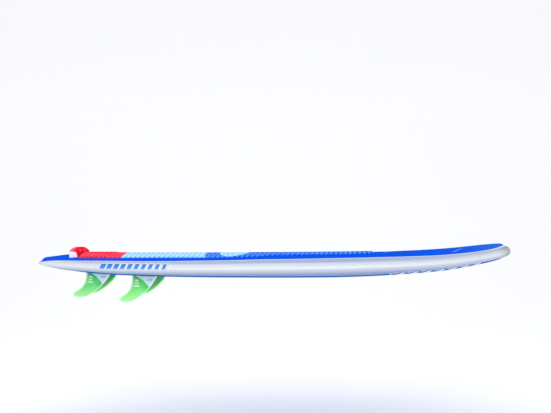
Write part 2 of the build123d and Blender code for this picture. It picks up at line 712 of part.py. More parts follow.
def tail_pad():
    step = strip(TAIL_PAD_X, -700) - shifted(PAD + PAD_GAP)
    return solid((eva_sheet(TAIL_PAD) & strip(-960, TAIL_PAD_END)) - step)


def add_thin_pads():
    """Mid pad, front pad and the inlay, from one sheet open at the handle and mast insert."""
    sheet = eva_sheet(PAD)
    sheet -= slot_prism(HANDLE_L + 6, HANDLE_W + 6, 0, 200, 18, HANDLE_X)
    sheet -= tube(25, 0, 200, MAST_X)
    pieces["mid_pad"] = solid(sheet & strip(TAIL_PAD_END + PAD_SEAM, MID_PAD_END))
    front = sheet & strip(MID_PAD_END + PAD_SEAM, 500)
    pieces["pad_inlay"] = solid(front & closed_prism(inlay_half()))
    pieces["front_pad"] = solid(front - closed_prism(inlay_half(grow=PAD_SEAM)))


pieces["tail_pad"] = tail_pad()
add_thin_pads()

# ---------------------------------------------------------------- kick block
# a foam bar across the tail, under one sheet on top and another on its nose-side slope
KICK_X0, KICK_X1 = -986.5, -940.6              # foot, tail side and nose side
KICK_TOP_X0, KICK_TOP_X1 = -986.0, -961.8
KICK_HALF = 148.0
KICK_Z_MID, KICK_Z_END = 133.6, 115.2          # top at mid width and at the ends
KICK_SEAM_X = KICK_TOP_X1 - 2.2                # seam between the two sheets


def kick_bar(cover=0.0, tail_extra=0.0, side_extra=0.0):
    """Bar with a profile along X and a crown across Y, less a cover on slope and top."""
    half = KICK_HALF + side_extra
    foot_x0, top_x0 = KICK_X0 - tail_extra, KICK_TOP_X0 - tail_extra
    foot_x1, top_x1 = KICK_X1 - cover, KICK_TOP_X1 - cover
    top = KICK_Z_MID + 5
    profile = [(foot_x0, 60), (foot_x1, 60), (foot_x1, 80), (top_x1, top), (top_x0, top),
               (foot_x0, 80)]
    points = [Vector(x, -half, z) for x, z in profile]
    bar = extrude(Face(Wire.make_polygon(points, close=True)), amount=2 * half, dir=(0, 1, 0))

    start_x, floor = -1100, 50
    fall = KICK_Z_MID - KICK_Z_END
    crown = [Vector(start_x, float(y), KICK_Z_MID - fall * abs(y / KICK_HALF) ** 2.6 - cover)
             for y in np.linspace(-half, half, 13)]
    left, right = Vector(start_x, half, floor), Vector(start_x, -half, floor)
    wire = Wire([Edge.make_spline(crown), Edge.make_line(crown[-1], left),
                 Edge.make_line(left, right), Edge.make_line(right, crown[0])])
    return bar & extrude(Face(wire), amount=300, dir=(1, 0, 0))


def add_kick():
    whole = kick_bar()
    foam = kick_bar(cover=PAD)
    hollow = kick_bar(cover=PAD - PAD_GAP, tail_extra=5, side_extra=1)
    pieces["kick_block"] = solid(foam - shifted(PAD_GAP))
    shell = whole - hollow
    corners = [(KICK_SEAM_X, 300), (KICK_SEAM_X, 50), (-900, 50), (-900, 300)]
    cut = Face(Wire.make_polygon([Vector(x, -200, z) for x, z in corners], close=True))
    slope_zone = extrude(cut, amount=400, dir=(0, 1, 0))
    pieces["kick_top"] = solid((shell - slope_zone) - shifted(PAD_GAP))
    face = shell & slope_zone.moved(Location((PAD_GAP, 0, 0)))
    pieces["kick_face"] = solid(face - shifted(PAD_GAP))


add_kick()

# ---------------------------------------------------------------- place and write
os.makedirs("parts", exist_ok=True)
to_mast_origin = Location((-MAST_X, 0, -MAST_TOP))
for name, shape in pieces.items():
    export_step(shape.moved(to_mast_origin), f"parts/{name}.step")
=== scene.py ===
"""A 2337 mm board: hull, foam pads, kick bar at the tail, carry handle and four fins.

Shapes are drawn in design millimetres: X from mid length toward the nose, Y to the left side,
Z up from the flat of the bottom. Objects are built in metres, with the origin on the deck's
centreline at the mast hole. The camera looks at the right side.
"""
import json
import math

import bmesh
import bpy
import numpy as np
from mathutils import Matrix, Vector
from mathutils.kdtree import KDTree


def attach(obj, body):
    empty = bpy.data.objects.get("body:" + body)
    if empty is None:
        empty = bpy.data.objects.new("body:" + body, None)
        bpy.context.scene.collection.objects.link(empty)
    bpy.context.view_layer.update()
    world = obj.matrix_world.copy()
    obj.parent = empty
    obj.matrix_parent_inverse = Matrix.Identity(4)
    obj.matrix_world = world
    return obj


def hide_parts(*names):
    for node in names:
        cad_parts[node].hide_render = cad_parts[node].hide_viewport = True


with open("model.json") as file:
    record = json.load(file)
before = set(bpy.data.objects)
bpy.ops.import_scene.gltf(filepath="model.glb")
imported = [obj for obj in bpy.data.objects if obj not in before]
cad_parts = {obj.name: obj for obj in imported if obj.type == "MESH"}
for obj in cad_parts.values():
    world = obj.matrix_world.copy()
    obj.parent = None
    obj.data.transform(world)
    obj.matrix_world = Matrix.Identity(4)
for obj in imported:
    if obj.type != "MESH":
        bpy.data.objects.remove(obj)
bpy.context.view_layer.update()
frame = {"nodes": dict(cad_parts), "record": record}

# ---------------------------------------------------------------- design, mm
LENGTH = 2337.0
HALF_LENGTH = LENGTH / 2
SHELL = 3.0                                # thickness of the hull's skins
RAIL_UPPER, RAIL_LOWER = 32.0, 20.0        # inset of the rail's crest and of its lower joint
CREST_TAIL, CREST_NOSE = 12.0, 25.0        # crest inset at the tips
TIP_BLEND = 260                            # length over which the crest inset grows to full
DOME_TAIL, DOME_NOSE = 24.0, 26.0          # length over which the deck's dome grows at each tip
LOWER_RISE = 9.0                           # most the lower joint stands above the bottom
TUCK_WIDTH = 45                            # strip of the bottom that curves up to the joint
RAIL_POWER = 2 / 2.15                      # exponent of the rail's superellipse section

MAST_X, MAST_CUT_R, MAST_PAD_R = 60.0, 14.2, 25
HANDLE_X, HANDLE_L, HANDLE_W = -50.0, 128.0, 58.0
VENT_X, VENT_CUT_R, VENT_CUT_DEPTH = 560.0, 17.2, 24.2
LEASH_X, LEASH_CUT_R, LEASH_CUT_DEPTH = -1085.0, 19.2, 26.2
CUT_SLACK = 0.4                            # added to an insert's length and width

PAD, PAD_GAP, PAD_SEAM = 5.0, 0.1, 1.0     # foam thickness, gap to the deck, gap between pads
PAD_RIM = 2.0                              # rounding of the pads' top edge
TAIL_PAD, TAIL_PAD_X = 8.4, -792.0         # thicker foam behind this station
PAD_TAIL, RED_EDGE, LIGHT_EDGE, PAD_NOSE = -936, -727.0, -322.0, 490.5
PAD_BOW = 14.0                             # bow toward the tail of the seam at LIGHT_EDGE
GROOVE_PITCH = 23.0

KICK_X0, KICK_X1 = -986.5, -940.6          # rear face, and front face at KICK_LOW_Z
KICK_TOP_X0, KICK_TOP_X1 = -986.0, -961.8
KICK_LOW_Z = 80.0
KICK_HALF, KICK_Z_MID, KICK_Z_END = 148.0, 133.6, 115.2
KICK_SHEET, KICK_END = 1.7, 2.2            # cover sheet thickness, rounding of the ends

FIN_PLACES = {"front": (-610.5, 230.0), "rear": (-849.5, 120.0)}
TOE, CANT = 2.5, 5.0                       # degrees
FIN_T, TAB_T = 7.6, 9.0                    # thickness of blade and base
BOX_L, BOX_W, BOX_R = 184.0, 25.0, 8.2     # fin box; the radius is that of its cutter

GRIP_HALF, GRIP_HALF_W, GRIP_HALF_H = 61.1, 12.0, 6.6

# (distance from the tail or nose tip, half width of the outline)
TAIL = [(0, 0), (1, 15), (4, 31), (10, 50), (20, 73), (40, 106), (80, 151), (130, 191), (200, 232),
        (300, 273), (400, 304), (500, 328), (600, 347), (750, 368), (900, 382), (1050, 391),
        (1200, 394)]
NOSE = [(0, 0), (1, 22), (4, 43), (10, 67), (20, 94), (40, 131), (70, 172), (110, 212), (160, 249),
        (230, 287), (320, 320), (430, 346), (560, 366), (720, 381), (900, 390), (1137, 394)]
# (X, Z) of the bottom on the centreline, of the rail crest, and of the deck on the centreline
ROCKER = [(-1168.5, 43), (-1104, 36), (-1033, 29), (-950, 21.5), (-850, 13), (-740, 8),
          (-600, 4.2), (-450, 1.6), (-280, 0.2), (-100, 0), (80, 0), (230, 0.6), (350, 3),
          (450, 6.5), (560, 12), (660, 18.5), (760, 26), (860, 38), (930, 48.5), (1000, 59),
          (1070, 69.5), (1130, 78.5), (1168.5, 85)]
CREST = [(-1168.5, 63), (-1131, 66.5), (-1058, 70), (-990, 72), (-900, 73.3), (-740, 74.1),
         (-600, 74.0), (-500, 75), (-400, 77), (-287, 78.8), (-175, 81.2), (-65, 84.6), (46, 86),
         (157, 87.8), (268, 89.8), (379, 92.0), (491, 94.2), (604, 96.6), (718, 99.8), (776, 102),
         (835, 105.6), (896, 110.2), (960, 115.6), (1028, 122.2), (1090, 130.5), (1168.5, 141)]
DECK = [(-1168.5, 76), (-1154, 80), (-1140, 82), (-1103, 86.5), (-1063, 92), (-1000, 98),
        (-920, 101), (-800, 101), (-600, 100.2), (-300, 99.6), (0, 100.6), (200, 101.8),
        (350, 103.5), (500, 106), (620, 110.5), (740, 116.5), (840, 123), (940, 132.5),
        (1000, 139.4), (1060, 146), (1110, 150), (1168.5, 151.5)]
# (X, inset from the outline) where the silver band ends on the deck side and the bottom side
BAND_TOP = [(-1168.5, -4), (-1154, -0.5), (-1143, 2.2), (-1118, 9), (-1069, 20), (-1000, 27),
            (-900, 31), (1100, 32), (1140, 32), (1168.5, 32)]
BAND_LOW = [(-1168.5, 34), (-960, 34), (-915, 23), (-860, 20), (-400, 18.5), (480, 18),
            (600, 13.5), (900, 13.5), (1060, 17), (1110, 22), (1145, 31), (1168.5, 34)]
# (X, half width) of the foam pads, and the points that close them toward the nose
PAD_EDGE = [(-936, 166.5), (-929, 168.5), (-883, 183), (-832, 195), (-734, 212), (-638, 221),
            (-542, 228), (-446, 239), (-350, 249), (-279, 255), (-205, 259), (-150, 256),
            (-100, 243), (-68, 231), (-20, 208), (27, 193), (123, 181), (220, 169), (317, 160),
            (400, 155), (449, 150), (475, 128)]
PAD_EDGE_END = 478.0
PAD_FRONT = [(489.5, 75.0), (490.5, 40.0), (490.5, 0.0)]
# (X, Y) of the left half of the light blue band laid across the blue pad
INLAY = [(-270, 0), (-268, 50), (-263, 110), (-252, 180), (-238, 225), (-222, 247), (-205, 253.5),
         (-192, 240), (-180, 212), (-160, 180), (-140, 120), (-129, 60), (-126, 0)]
# (depth below the fin's base line, trailing edge X, leading edge X)
FIN_ROWS = np.array([
    (0, -59.5, 59.5), (14, -59.0, 52.3), (29, -59.2, 43.4), (44, -60.6, 34.0), (59, -65.2, 23.4),
    (74, -73.4, 11.4), (88, -86.8, -4.2), (99, -101.5, -18.0), (108, -112.6, -30.4),
    (115, -115.6, -42.0), (120.5, -113.4, -54.0), (124.6, -106.5, -65.0), (126.6, -99.0, -73.0)])
# (share of the chord from the leading edge, share of the thickness)
FOIL = [(0.0, 0.0), (0.03, 0.30), (0.12, 0.66), (0.30, 0.97), (0.45, 1.0), (0.65, 0.84),
        (0.85, 0.46), (1.0, 0.10)]


# ---------------------------------------------------------------- curve helpers
def monotone(stations, values, at):
    """Monotone cubic through values given at stations."""
    stations, values, at = (np.asarray(v, float) for v in (stations, values, at))
    gap = np.diff(stations)
    slope = np.diff(values) / gap
    count = len(stations)
    tangent = np.zeros(count)
    for i in range(1, count - 1):
        if slope[i - 1] * slope[i] > 0:
            before, after = 2 * gap[i] + gap[i - 1], gap[i] + 2 * gap[i - 1]
            tangent[i] = (before + after) / (before / slope[i - 1] + after / slope[i])

    def end_tangent(gap0, gap1, slope0, slope1):
        value = ((2 * gap0 + gap1) * slope0 - gap0 * slope1) / (gap0 + gap1)
        if value * slope0 <= 0:
            return 0.0
        if slope0 * slope1 <= 0 and abs(value) > 3 * abs(slope0):
            return 3 * slope0
        return value

    tangent[0] = end_tangent(gap[0], gap[1], slope[0], slope[1])
    tangent[-1] = end_tangent(gap[-1], gap[-2], slope[-1], slope[-2])
    at = np.clip(at, stations[0], stations[-1])
    i = np.clip(np.searchsorted(stations, at) - 1, 0, count - 2)
    t = (at - stations[i]) / gap[i]
    return (values[i] * (1 + 2 * t) * (1 - t) ** 2 + gap[i] * tangent[i] * t * (1 - t) ** 2
            + values[i + 1] * t * t * (3 - 2 * t) + gap[i] * tangent[i + 1] * t * t * (t - 1))


def through(rows, at):
    """Monotone cubic through a two-column table."""
    return monotone(*np.array(rows, float).T, at)


def straight(rows, at):
    """Straight lines through a two-column table."""
    return np.interp(at, *np.array(rows, float).T)


def travel(points):
    """Distance travelled along a line of 2D points."""
    return np.r_[0, np.cumsum(np.hypot(*np.diff(points, axis=0).T))]


def resample(points, step=None, count=None):
    """Evenly spaced points round a closed polygon, by step or by count."""
    closed = np.r_[points, points[:1]]
    run = travel(closed)
    if step:
        at = np.arange(0, run[-1], step)
    else:
        at = np.linspace(0, run[-1], count, endpoint=False)
    return np.c_[np.interp(at, run, closed[:, 0]), np.interp(at, run, closed[:, 1])]


def smoothed(values, window, mirror=1):
    """Running mean; beyond both ends the values are reflected and multiplied by mirror."""
    padded = np.r_[mirror * values[window:0:-1], values, mirror * values[-2:-window - 2:-1]]
    return np.convolve(padded, np.ones(window) / window, "same")[window:-window]


def smoothstep(t):
    t = np.clip(t, 0, 1)
    return t * t * (3 - 2 * t)


def unit(vectors):
    return vectors / np.linalg.norm(vectors, axis=-1, keepdims=True)


# ---------------------------------------------------------------- curves of the hull
def z_bottom(x):
    return through(ROCKER, x)


def z_crest(x):
    return through(CREST, x)


def z_deck(x):
    return through(DECK, x)


def half_width(x):
    """Half width of the outline; square-root stations keep the tips round."""
    x = np.asarray(x, float)
    (tail_x, tail_y), (nose_x, nose_y) = np.array(TAIL, float).T, np.array(NOSE, float).T
    from_tail = np.sqrt(np.clip(x + HALF_LENGTH, 0, tail_x[-1]))
    from_nose = np.sqrt(np.clip(HALF_LENGTH - x, 0, nose_x[-1]))
    return np.where(x + HALF_LENGTH < tail_x[-1],
                    monotone(np.sqrt(tail_x), tail_y, from_tail),
                    monotone(np.sqrt(nose_x), nose_y, from_nose))


def make_outline(count=3000, window=15):
    """Left half of the outline, tail to nose by arc length, with its outward normal."""
    x = -HALF_LENGTH * np.cos(np.linspace(0, np.pi, count))
    y = half_width(x)
    run = travel(np.c_[x, y])
    at = np.linspace(0, run[-1], count)
    x, y = np.interp(at, run, x), np.interp(at, run, y)
    along_x = smoothed(np.gradient(x), window)
    along_y = smoothed(np.gradient(y), window, mirror=-1)
    size = np.hypot(along_x, along_y)
    out_x, out_y = -along_y / size, along_x / size
    out_x[0], out_y[0], out_x[-1], out_y[-1] = -1, 0, 1, 0
    return x, y, out_x, out_y


EDGE_X, EDGE_Y, OUT_X, OUT_Y = make_outline()
ARC = travel(np.c_[EDGE_X, EDGE_Y])


def inset_line(inset, z):
    """Line running inside the outline by inset, at height z."""
    return EDGE_X - OUT_X * inset, np.maximum(EDGE_Y - OUT_Y * inset, 0), z


def crest_inset(x):
    """Inset of the rail crest from the outline; smaller round the tips."""
    tail = CREST_TAIL + (RAIL_UPPER - CREST_TAIL) * smoothstep((x + HALF_LENGTH) / TIP_BLEND)
    nose = CREST_NOSE + (RAIL_UPPER - CREST_NOSE) * smoothstep((HALF_LENGTH - x) / TIP_BLEND)
    return np.minimum(tail, nose)


def lower_rise(x):
    """How far the rail's lower joint stands above the flat of the bottom."""
    return np.minimum(LOWER_RISE, (z_crest(x) - z_bottom(x)) * 0.16)


CREST_INSET = crest_inset(EDGE_X)
CREST_X, CREST_Y, CREST_Z = inset_line(CREST_INSET, z_crest(EDGE_X))
LOWER_X, LOWER_Y, LOWER_Z = inset_line(RAIL_LOWER, z_bottom(EDGE_X) + lower_rise(EDGE_X))


def dome_height(x):
    """Height of the deck's centreline above the rail crest."""
    return z_deck(x) - np.interp(x, CREST_X, CREST_Z)


def dome(x):
    """Dome height, growing from nothing at the tips of the crest line."""
    tail = np.clip((x - CREST_X[0]) / DOME_TAIL, 0, 1)
    nose = np.clip((CREST_X[-1] - x) / DOME_NOSE, 0, 1)
    return dome_height(x) * ((1 - (1 - tail) ** 2) * (1 - (1 - nose) ** 2))


def deck_z(x, y):
    """Deck height inside the crest line."""
    half = np.maximum(np.interp(x, CREST_X, CREST_Y), 1e-6)
    return np.interp(x, CREST_X, CREST_Z) + dome(x) * (1 - (y / half) ** 2)


def bottom_z(x, y):
    """Height of the underside inside the rail's lower joint, curving up near it."""
    y = np.abs(y)
    half = len(LOWER_X) // 2
    to_side = np.maximum(np.interp(x, LOWER_X, LOWER_Y) - y, 0)
    tail_x = np.interp(y, LOWER_Y[:half], LOWER_X[:half])
    nose_x = np.interp(y, LOWER_Y[:half - 1:-1], LOWER_X[:half - 1:-1])
    to_end = np.maximum(np.minimum(x - tail_x, nose_x - x), 0)
    inside = to_end * to_side / np.maximum(np.hypot(to_end, to_side), 1e-6)
    rise = np.interp(x, LOWER_X, LOWER_Z) - z_bottom(x)
    return z_bottom(x) + rise * np.clip(1 - inside / TUCK_WIDTH, 0, 1) ** 2


def crest_slope():
    """Slope with which the deck meets the rail, along the crest."""
    slope = 2 * dome(CREST_X) / np.maximum(CREST_Y, 1e-3) / np.maximum(OUT_Y, 0.05)
    tail = 2 * dome_height(CREST_X[0]) / DOME_TAIL
    nose = 2 * dome_height(CREST_X[-1]) / DOME_NOSE
    slope = np.where(CREST_Y < 12, np.where(CREST_X < 0, tail, nose), slope)
    return np.clip(smoothed(slope, 61), 0, 0.9)


CREST_SLOPE = crest_slope()


def rail_curve(level):
    """A line of the rail along the board: level 0 the crest, 0.5 the outline, 1 the lower joint."""
    bottom, crest, rise = z_bottom(EDGE_X), z_crest(EDGE_X), lower_rise(EDGE_X)
    middle = bottom + 0.5 * (crest - bottom)
    angle = abs(level - 0.5) / 0.5 * math.pi / 2
    outward, away = math.cos(angle) ** RAIL_POWER, math.sin(angle) ** RAIL_POWER
    if level <= 0.5:
        inset = CREST_INSET * (1 - outward)
        bend = CREST_SLOPE * (CREST_INSET - inset) * (inset / CREST_INSET) ** 2
        return inset_line(inset, middle + (crest - middle) * away - bend)
    inset = RAIL_LOWER * (1 - outward)
    bend = 0.4 * (rise / LOWER_RISE) * (RAIL_LOWER - inset) * (inset / RAIL_LOWER) ** 2
    return inset_line(inset, middle - (middle - (bottom + rise)) * away + bend)


# ---------------------------------------------------------------- mesh helpers
MAST_Z = float(z_deck(MAST_X))
ORIGIN = np.array([MAST_X, 0.0, MAST_Z])


def new_object(name, verts, faces, place=None):
    """Object from design millimetres, moved by a 4x4 place if given."""
    verts = np.asarray(verts, float).reshape(-1, 3)
    if place is not None:
        verts = verts @ place[:3, :3].T + place[:3, 3]
    mesh = bpy.data.meshes.new(name)
    mesh.from_pydata(((verts - ORIGIN) / 1000.0).tolist(), [], faces)
    mesh.update()
    ob = bpy.data.objects.new(name, mesh)
    bpy.context.scene.collection.objects.link(ob)
    return ob


def vertices(ob):
    """Vertex positions in design millimetres."""
    flat = np.zeros(len(ob.data.vertices) * 3)
    ob.data.vertices.foreach_get("co", flat)
    return flat.reshape(-1, 3) * 1000.0 + ORIGIN


def slab(top, bottom):
    """Closed shell between two grids (rows along X, columns along Y)."""
    rows, cols = top.shape[:2]
    count = rows * cols
    i = np.arange(count).reshape(rows, cols)
    up = np.c_[i[:-1, :-1].ravel(), i[1:, :-1].ravel(), i[1:, 1:].ravel(), i[:-1, 1:].ravel()]
    loop = np.r_[i[0, :], i[1:, -1], i[-1, -2::-1], i[-2:0:-1, 0]]
    after = np.roll(loop, -1)
    walls = np.c_[loop, after, after + count, loop + count]
    verts = np.r_[top.reshape(-1, 3), bottom.reshape(-1, 3)]
    return verts, np.r_[up, up[:, ::-1] + count, walls].tolist()


def rings(loops):
    """Closed skin through rings of equal count, with flat caps at both ends."""
    loops = np.asarray(loops, float)
    count, size = loops.shape[:2]
    i = np.arange(count * size).reshape(count, size)
    j = np.roll(i, -1, axis=1)
    faces = np.c_[i[:-1].ravel(), j[:-1].ravel(), j[1:].ravel(), i[1:].ravel()].tolist()
    return loops.reshape(-1, 3), faces + [i[0, ::-1].tolist(), i[-1].tolist()]


def place_matrix(x, y, z, rz=0.0, ry=0.0, rx=0.0):
    """Position in mm and turns in degrees."""
    turn = [Matrix.Rotation(math.radians(a), 4, k) for a, k in ((rz, "Z"), (ry, "Y"), (rx, "X"))]
    return np.array(Matrix.Translation((x, y, z)) @ turn[0] @ turn[1] @ turn[2])


def prism(outline, z0, z1, place=None, at=(0, 0, 0), along_y=False):
    """Cutting tool: an outline drawn out along Z, or along Y."""
    outline = np.asarray(outline, float)
    verts, faces = rings([np.c_[outline, np.full(len(outline), z)] for z in (z0, z1)])
    if along_y:
        verts = verts[:, [0, 2, 1]]
        faces = [face[::-1] for face in faces]
    return new_object("cut", verts + np.array(at), faces, place)


def circle(radius, count, x=0.0):
    a = np.linspace(0, 2 * math.pi, count, endpoint=False)
    return np.c_[x + radius * np.cos(a), radius * np.sin(a)]


def round_rect(length, width, radius, x=0.0):
    points = []
    for side_x, side_y, start in ((1, 1, 0), (-1, 1, 90), (-1, -1, 180), (1, -1, 270)):
        corner_x, corner_y = side_x * (length / 2 - radius), side_y * (width / 2 - radius)
        for a in np.radians(np.linspace(start, start + 90, 12)):
            points.append((x + corner_x + radius * math.cos(a), corner_y + radius * math.sin(a)))
    return np.array(points)


def boolean(ob, tool, how="DIFFERENCE"):
    """Applies a boolean and throws the tool away."""
    # the exact solver is the fallback where the manifold one changes nothing
    for solver in ("MANIFOLD", "EXACT"):
        modifier = ob.modifiers.new("cut", "BOOLEAN")
        modifier.operation, modifier.object, modifier.solver = how, tool, solver
        depsgraph = bpy.context.evaluated_depsgraph_get()
        mesh = bpy.data.meshes.new_from_object(ob.evaluated_get(depsgraph))
        ob.modifiers.clear()
        faces = len(mesh.polygons)
        if faces and (how != "DIFFERENCE" or faces != len(ob.data.polygons)):
            break
    old = ob.data
    ob.data = mesh
    bpy.data.meshes.remove(old)
    bpy.data.objects.remove(tool)


def attribute(ob, name, values):
    """Float attribute on the vertices; values may be one number for all."""
    layer = ob.data.attributes.new(name, "FLOAT", "POINT")
    layer.data.foreach_set("value", np.full(len(ob.data.vertices), values, np.float32))


def smooth(ob, angle):
    ob.data.shade_smooth()
    ob.data.set_sharp_from_angle(angle=math.radians(angle))


def face_outward(ob):
    bm = bmesh.new()
    bm.from_mesh(ob.data)
    bmesh.ops.recalc_face_normals(bm, faces=bm.faces)
    bm.to_mesh(ob.data)
    bm.free()


def surface_normals(ob, normals, outer):
    """Shades the faces made of outer vertices with exact normals, every other face flat."""
    mesh = ob.data
    mesh.shade_smooth()
    faces = len(mesh.polygons)
    corner = np.zeros(len(mesh.loops), int)
    mesh.loops.foreach_get("vertex_index", corner)
    total = np.zeros(faces, int)
    mesh.polygons.foreach_get("loop_total", total)
    flat = np.zeros(faces * 3)
    mesh.polygons.foreach_get("normal", flat)
    flat = flat.reshape(-1, 3)
    owner = np.repeat(np.arange(faces), total)

    def face_sum(values):
        return np.bincount(owner, weights=values, minlength=faces)

    mean = np.array([face_sum(normals[corner, k]) for k in range(3)]).T / total[:, None]
    exact = face_sum((~outer[corner]).astype(float)) == 0
    exact &= (mean * flat).sum(1) > 0.75
    split = np.where(exact[owner][:, None], normals[corner], flat[owner])
    mesh.normals_split_custom_set(split.tolist())


def plan_tree(x, y, sides=(1, -1)):
    """Nearest-point lookup in plan, on the given sides of the centreline."""
    tree = KDTree(len(x) * len(sides))
    for i in range(len(x)):
        for side in sides:
            tree.insert((x[i], side * y[i], 0), i)
    tree.balance()
    return tree


# ---------------------------------------------------------------- node helpers
def rgb(code):
    """Linear colour of a hex code."""
    parts = [int(code[i:i + 2], 16) / 255 for i in (0, 2, 4)]
    return tuple(((v + 0.055) / 1.055) ** 2.4 if v > 0.04045 else v / 12.92
                 for v in parts) + (1.0,)


def feed(value, socket):
    """Links a Value to a socket, or writes a plain value into it."""
    if isinstance(value, Value):
        value.tree.links.new(value.socket, socket)
    else:
        socket.default_value = value


def add_node(tree, kind, inputs, output=0, **settings):
    """Adds a shader node and returns one of its outputs as a Value."""
    node = tree.nodes.new("ShaderNode" + kind)
    for name, setting in settings.items():
        setattr(node, name, setting)
    for key, value in inputs.items():
        feed(value, node.inputs[key])
    return Value(tree, node.outputs[output])


def colour_ramp(tree, value, stops):
    result = add_node(tree, "ValToRGB", {0: value})
    elements = result.socket.node.color_ramp.elements
    while len(elements) < len(stops):
        elements.new(0.5)
    for i, (position, colour) in enumerate(stops):
        elements[i].position, elements[i].color = position, colour
    return result


def math_method(how):
    return lambda self, *others: self.math(how, *others)


class Value:
    """An output in a node tree, with arithmetic."""

    def __init__(self, tree, socket):
        self.tree, self.socket = tree, socket

    def math(self, how, *others, clamp=False):
        return add_node(self.tree, "Math", dict(enumerate((self, *others))),
                        operation=how, use_clamp=clamp)

    __add__ = math_method("ADD")
    __sub__ = math_method("SUBTRACT")
    __mul__ = math_method("MULTIPLY")
    __truediv__ = math_method("DIVIDE")
    abs = math_method("ABSOLUTE")
    fract = math_method("FRACT")
    sin = math_method("SINE")
    pow = math_method("POWER")
    min = math_method("MINIMUM")
    max = math_method("MAXIMUM")

    def __rsub__(self, other):
        return (self * -1) + other

    def clamp(self):
        return self.math("ADD", 0.0, clamp=True)

    def step(self, lo, hi):
        """0 below lo, 1 above hi, smooth between; lo above hi turns it round."""
        start, end = (1.0, 0.0) if lo > hi else (0.0, 1.0)
        return add_node(self.tree, "MapRange",
                        {"Value": self, "From Min": min(lo, hi), "From Max": max(lo, hi),
                         "To Min": start, "To Max": end}, interpolation_type="SMOOTHSTEP")

    def between(self, lo, hi, soft):
        """1 from lo to hi, with edges softened by soft to each side."""
        return self.step(lo - soft, lo + soft) * self.step(hi + soft, hi - soft)


class Material:
    """A principled material with helpers."""

    def __init__(self, name, rough, metal=0.0, sheen=0.0, spec=0.5):
        self.mat = bpy.data.materials.new(name)
        self.mat.use_nodes = True
        self.tree = self.mat.node_tree
        self.bsdf = self.tree.nodes["Principled BSDF"]
        for socket, value in (("Roughness", rough), ("Metallic", metal), ("Coat Roughness", 0.05),
                              ("Sheen Weight", sheen), ("Specular IOR Level", spec)):
            self.set(socket, value)

    def set(self, name, value):
        feed(value, self.bsdf.inputs[name])

    def gloss(self, amount, rough):
        """A thin clear gloss whose strength doesn't rise toward grazing angles."""
        shine = add_node(self.tree, "BsdfGlossy", {"Roughness": rough, "Color": (1, 1, 1, 1)})
        body = Value(self.tree, self.bsdf.outputs[0])
        mixed = add_node(self.tree, "MixShader", {0: amount, 1: body, 2: shine})
        feed(mixed, self.tree.nodes["Material Output"].inputs["Surface"])

    def attr(self, name):
        return add_node(self.tree, "Attribute", {}, "Fac",
                        attribute_type="GEOMETRY", attribute_name=name)

    def coords(self):
        return add_node(self.tree, "TexCoord", {}, "Object")

    def position(self, axes):
        """Object coordinates in mm from the origin at the mast hole."""
        node = add_node(self.tree, "SeparateXYZ", {0: self.coords()}).socket.node
        return [Value(self.tree, node.outputs[axis]) * 1000.0 for axis in axes.upper()]

    def noise(self, scale, detail=3.0, rough=0.55, stretch=(1, 1, 1)):
        where = add_node(self.tree, "Mapping", {0: self.coords(), "Scale": stretch})
        return add_node(self.tree, "TexNoise", {"Scale": scale, "Detail": detail,
                                                "Roughness": rough, "Vector": where}, "Fac")

    def voronoi(self, scale):
        return add_node(self.tree, "TexVoronoi", {"Scale": scale, "Vector": self.coords()},
                        "Distance")

    def mix(self, amount, under, over):
        # sockets 6 and 7 and output 2 are the node's colour ones
        return add_node(self.tree, "Mix", {0: amount, 6: under, 7: over}, 2, data_type="RGBA")

    def scale_colour(self, colour, factor):
        return add_node(self.tree, "VectorMath", {0: colour, "Scale": factor}, operation="SCALE")

    def ramp(self, value, stops):
        """Colour ramp from (position, hex code) stops."""
        return colour_ramp(self.tree, value, [(at, rgb(code)) for at, code in stops])

    def bump(self, height, distance, strength):
        self.set("Normal", add_node(self.tree, "Bump", {"Distance": distance,
                                                        "Strength": strength, "Height": height}))

    def edge_light(self, radius=0.0008):
        """1 along the piece's outer edges, 0 on its faces: where handling wears a surface."""
        bevel = add_node(self.tree, "Bevel", {"Radius": radius}, samples=4)
        normal = add_node(self.tree, "NewGeometry", {}, "Normal")
        facing = add_node(self.tree, "VectorMath", {0: bevel, 1: normal}, "Value",
                          operation="DOT_PRODUCT")
        return (1.0 - facing).step(0.02, 0.25)


REPLACED = set()        # CAD nodes that a new piece stands for


def fit(ob, body, slot, material, *nodes):
    """Every new piece rides on its body, takes its finish, and stands for its CAD nodes."""
    ob.data.materials.clear()
    ob.data.materials.append(material.mat)
    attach(ob, body)
    if nodes:
        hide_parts(*nodes)
        REPLACED.update(nodes)


# ---------------------------------------------------------------- rails
def mesh_stations(count=820):
    """Indices of the outline samples that carry mesh rows, closer together at the tips."""
    t = np.linspace(0, 1, count)
    t = 0.25 * (1 - np.cos(np.pi * t)) / 2 + 0.75 * t
    return np.unique(np.round(t * (len(EDGE_X) - 1)).astype(int))


ROWS = mesh_stations()
WIDEST = 26             # index of the rail level that lies on the outline
LEVELS = np.r_[np.linspace(0, 0.5, WIDEST + 1), np.linspace(0.5, 1, 19)[1:]]
RAIL = np.array([np.c_[rail_curve(level)] for level in LEVELS])[:, ROWS]    # level, row, xyz
RAIL_INSET = np.hypot(RAIL[..., 0] - EDGE_X[ROWS], RAIL[..., 1] - EDGE_Y[ROWS])


def slope_normal(surface, x, y, up=1.0, reach=0.6):
    """Normals of a height function; up -1 turns them downward."""
    dx = (surface(x + reach, y) - surface(x - reach, y)) / (2 * reach)
    dy = (surface(x, y + reach) - surface(x, y - reach)) / (2 * reach)
    return unit(np.c_[-dx, -dy, np.ones_like(dx)] * up)


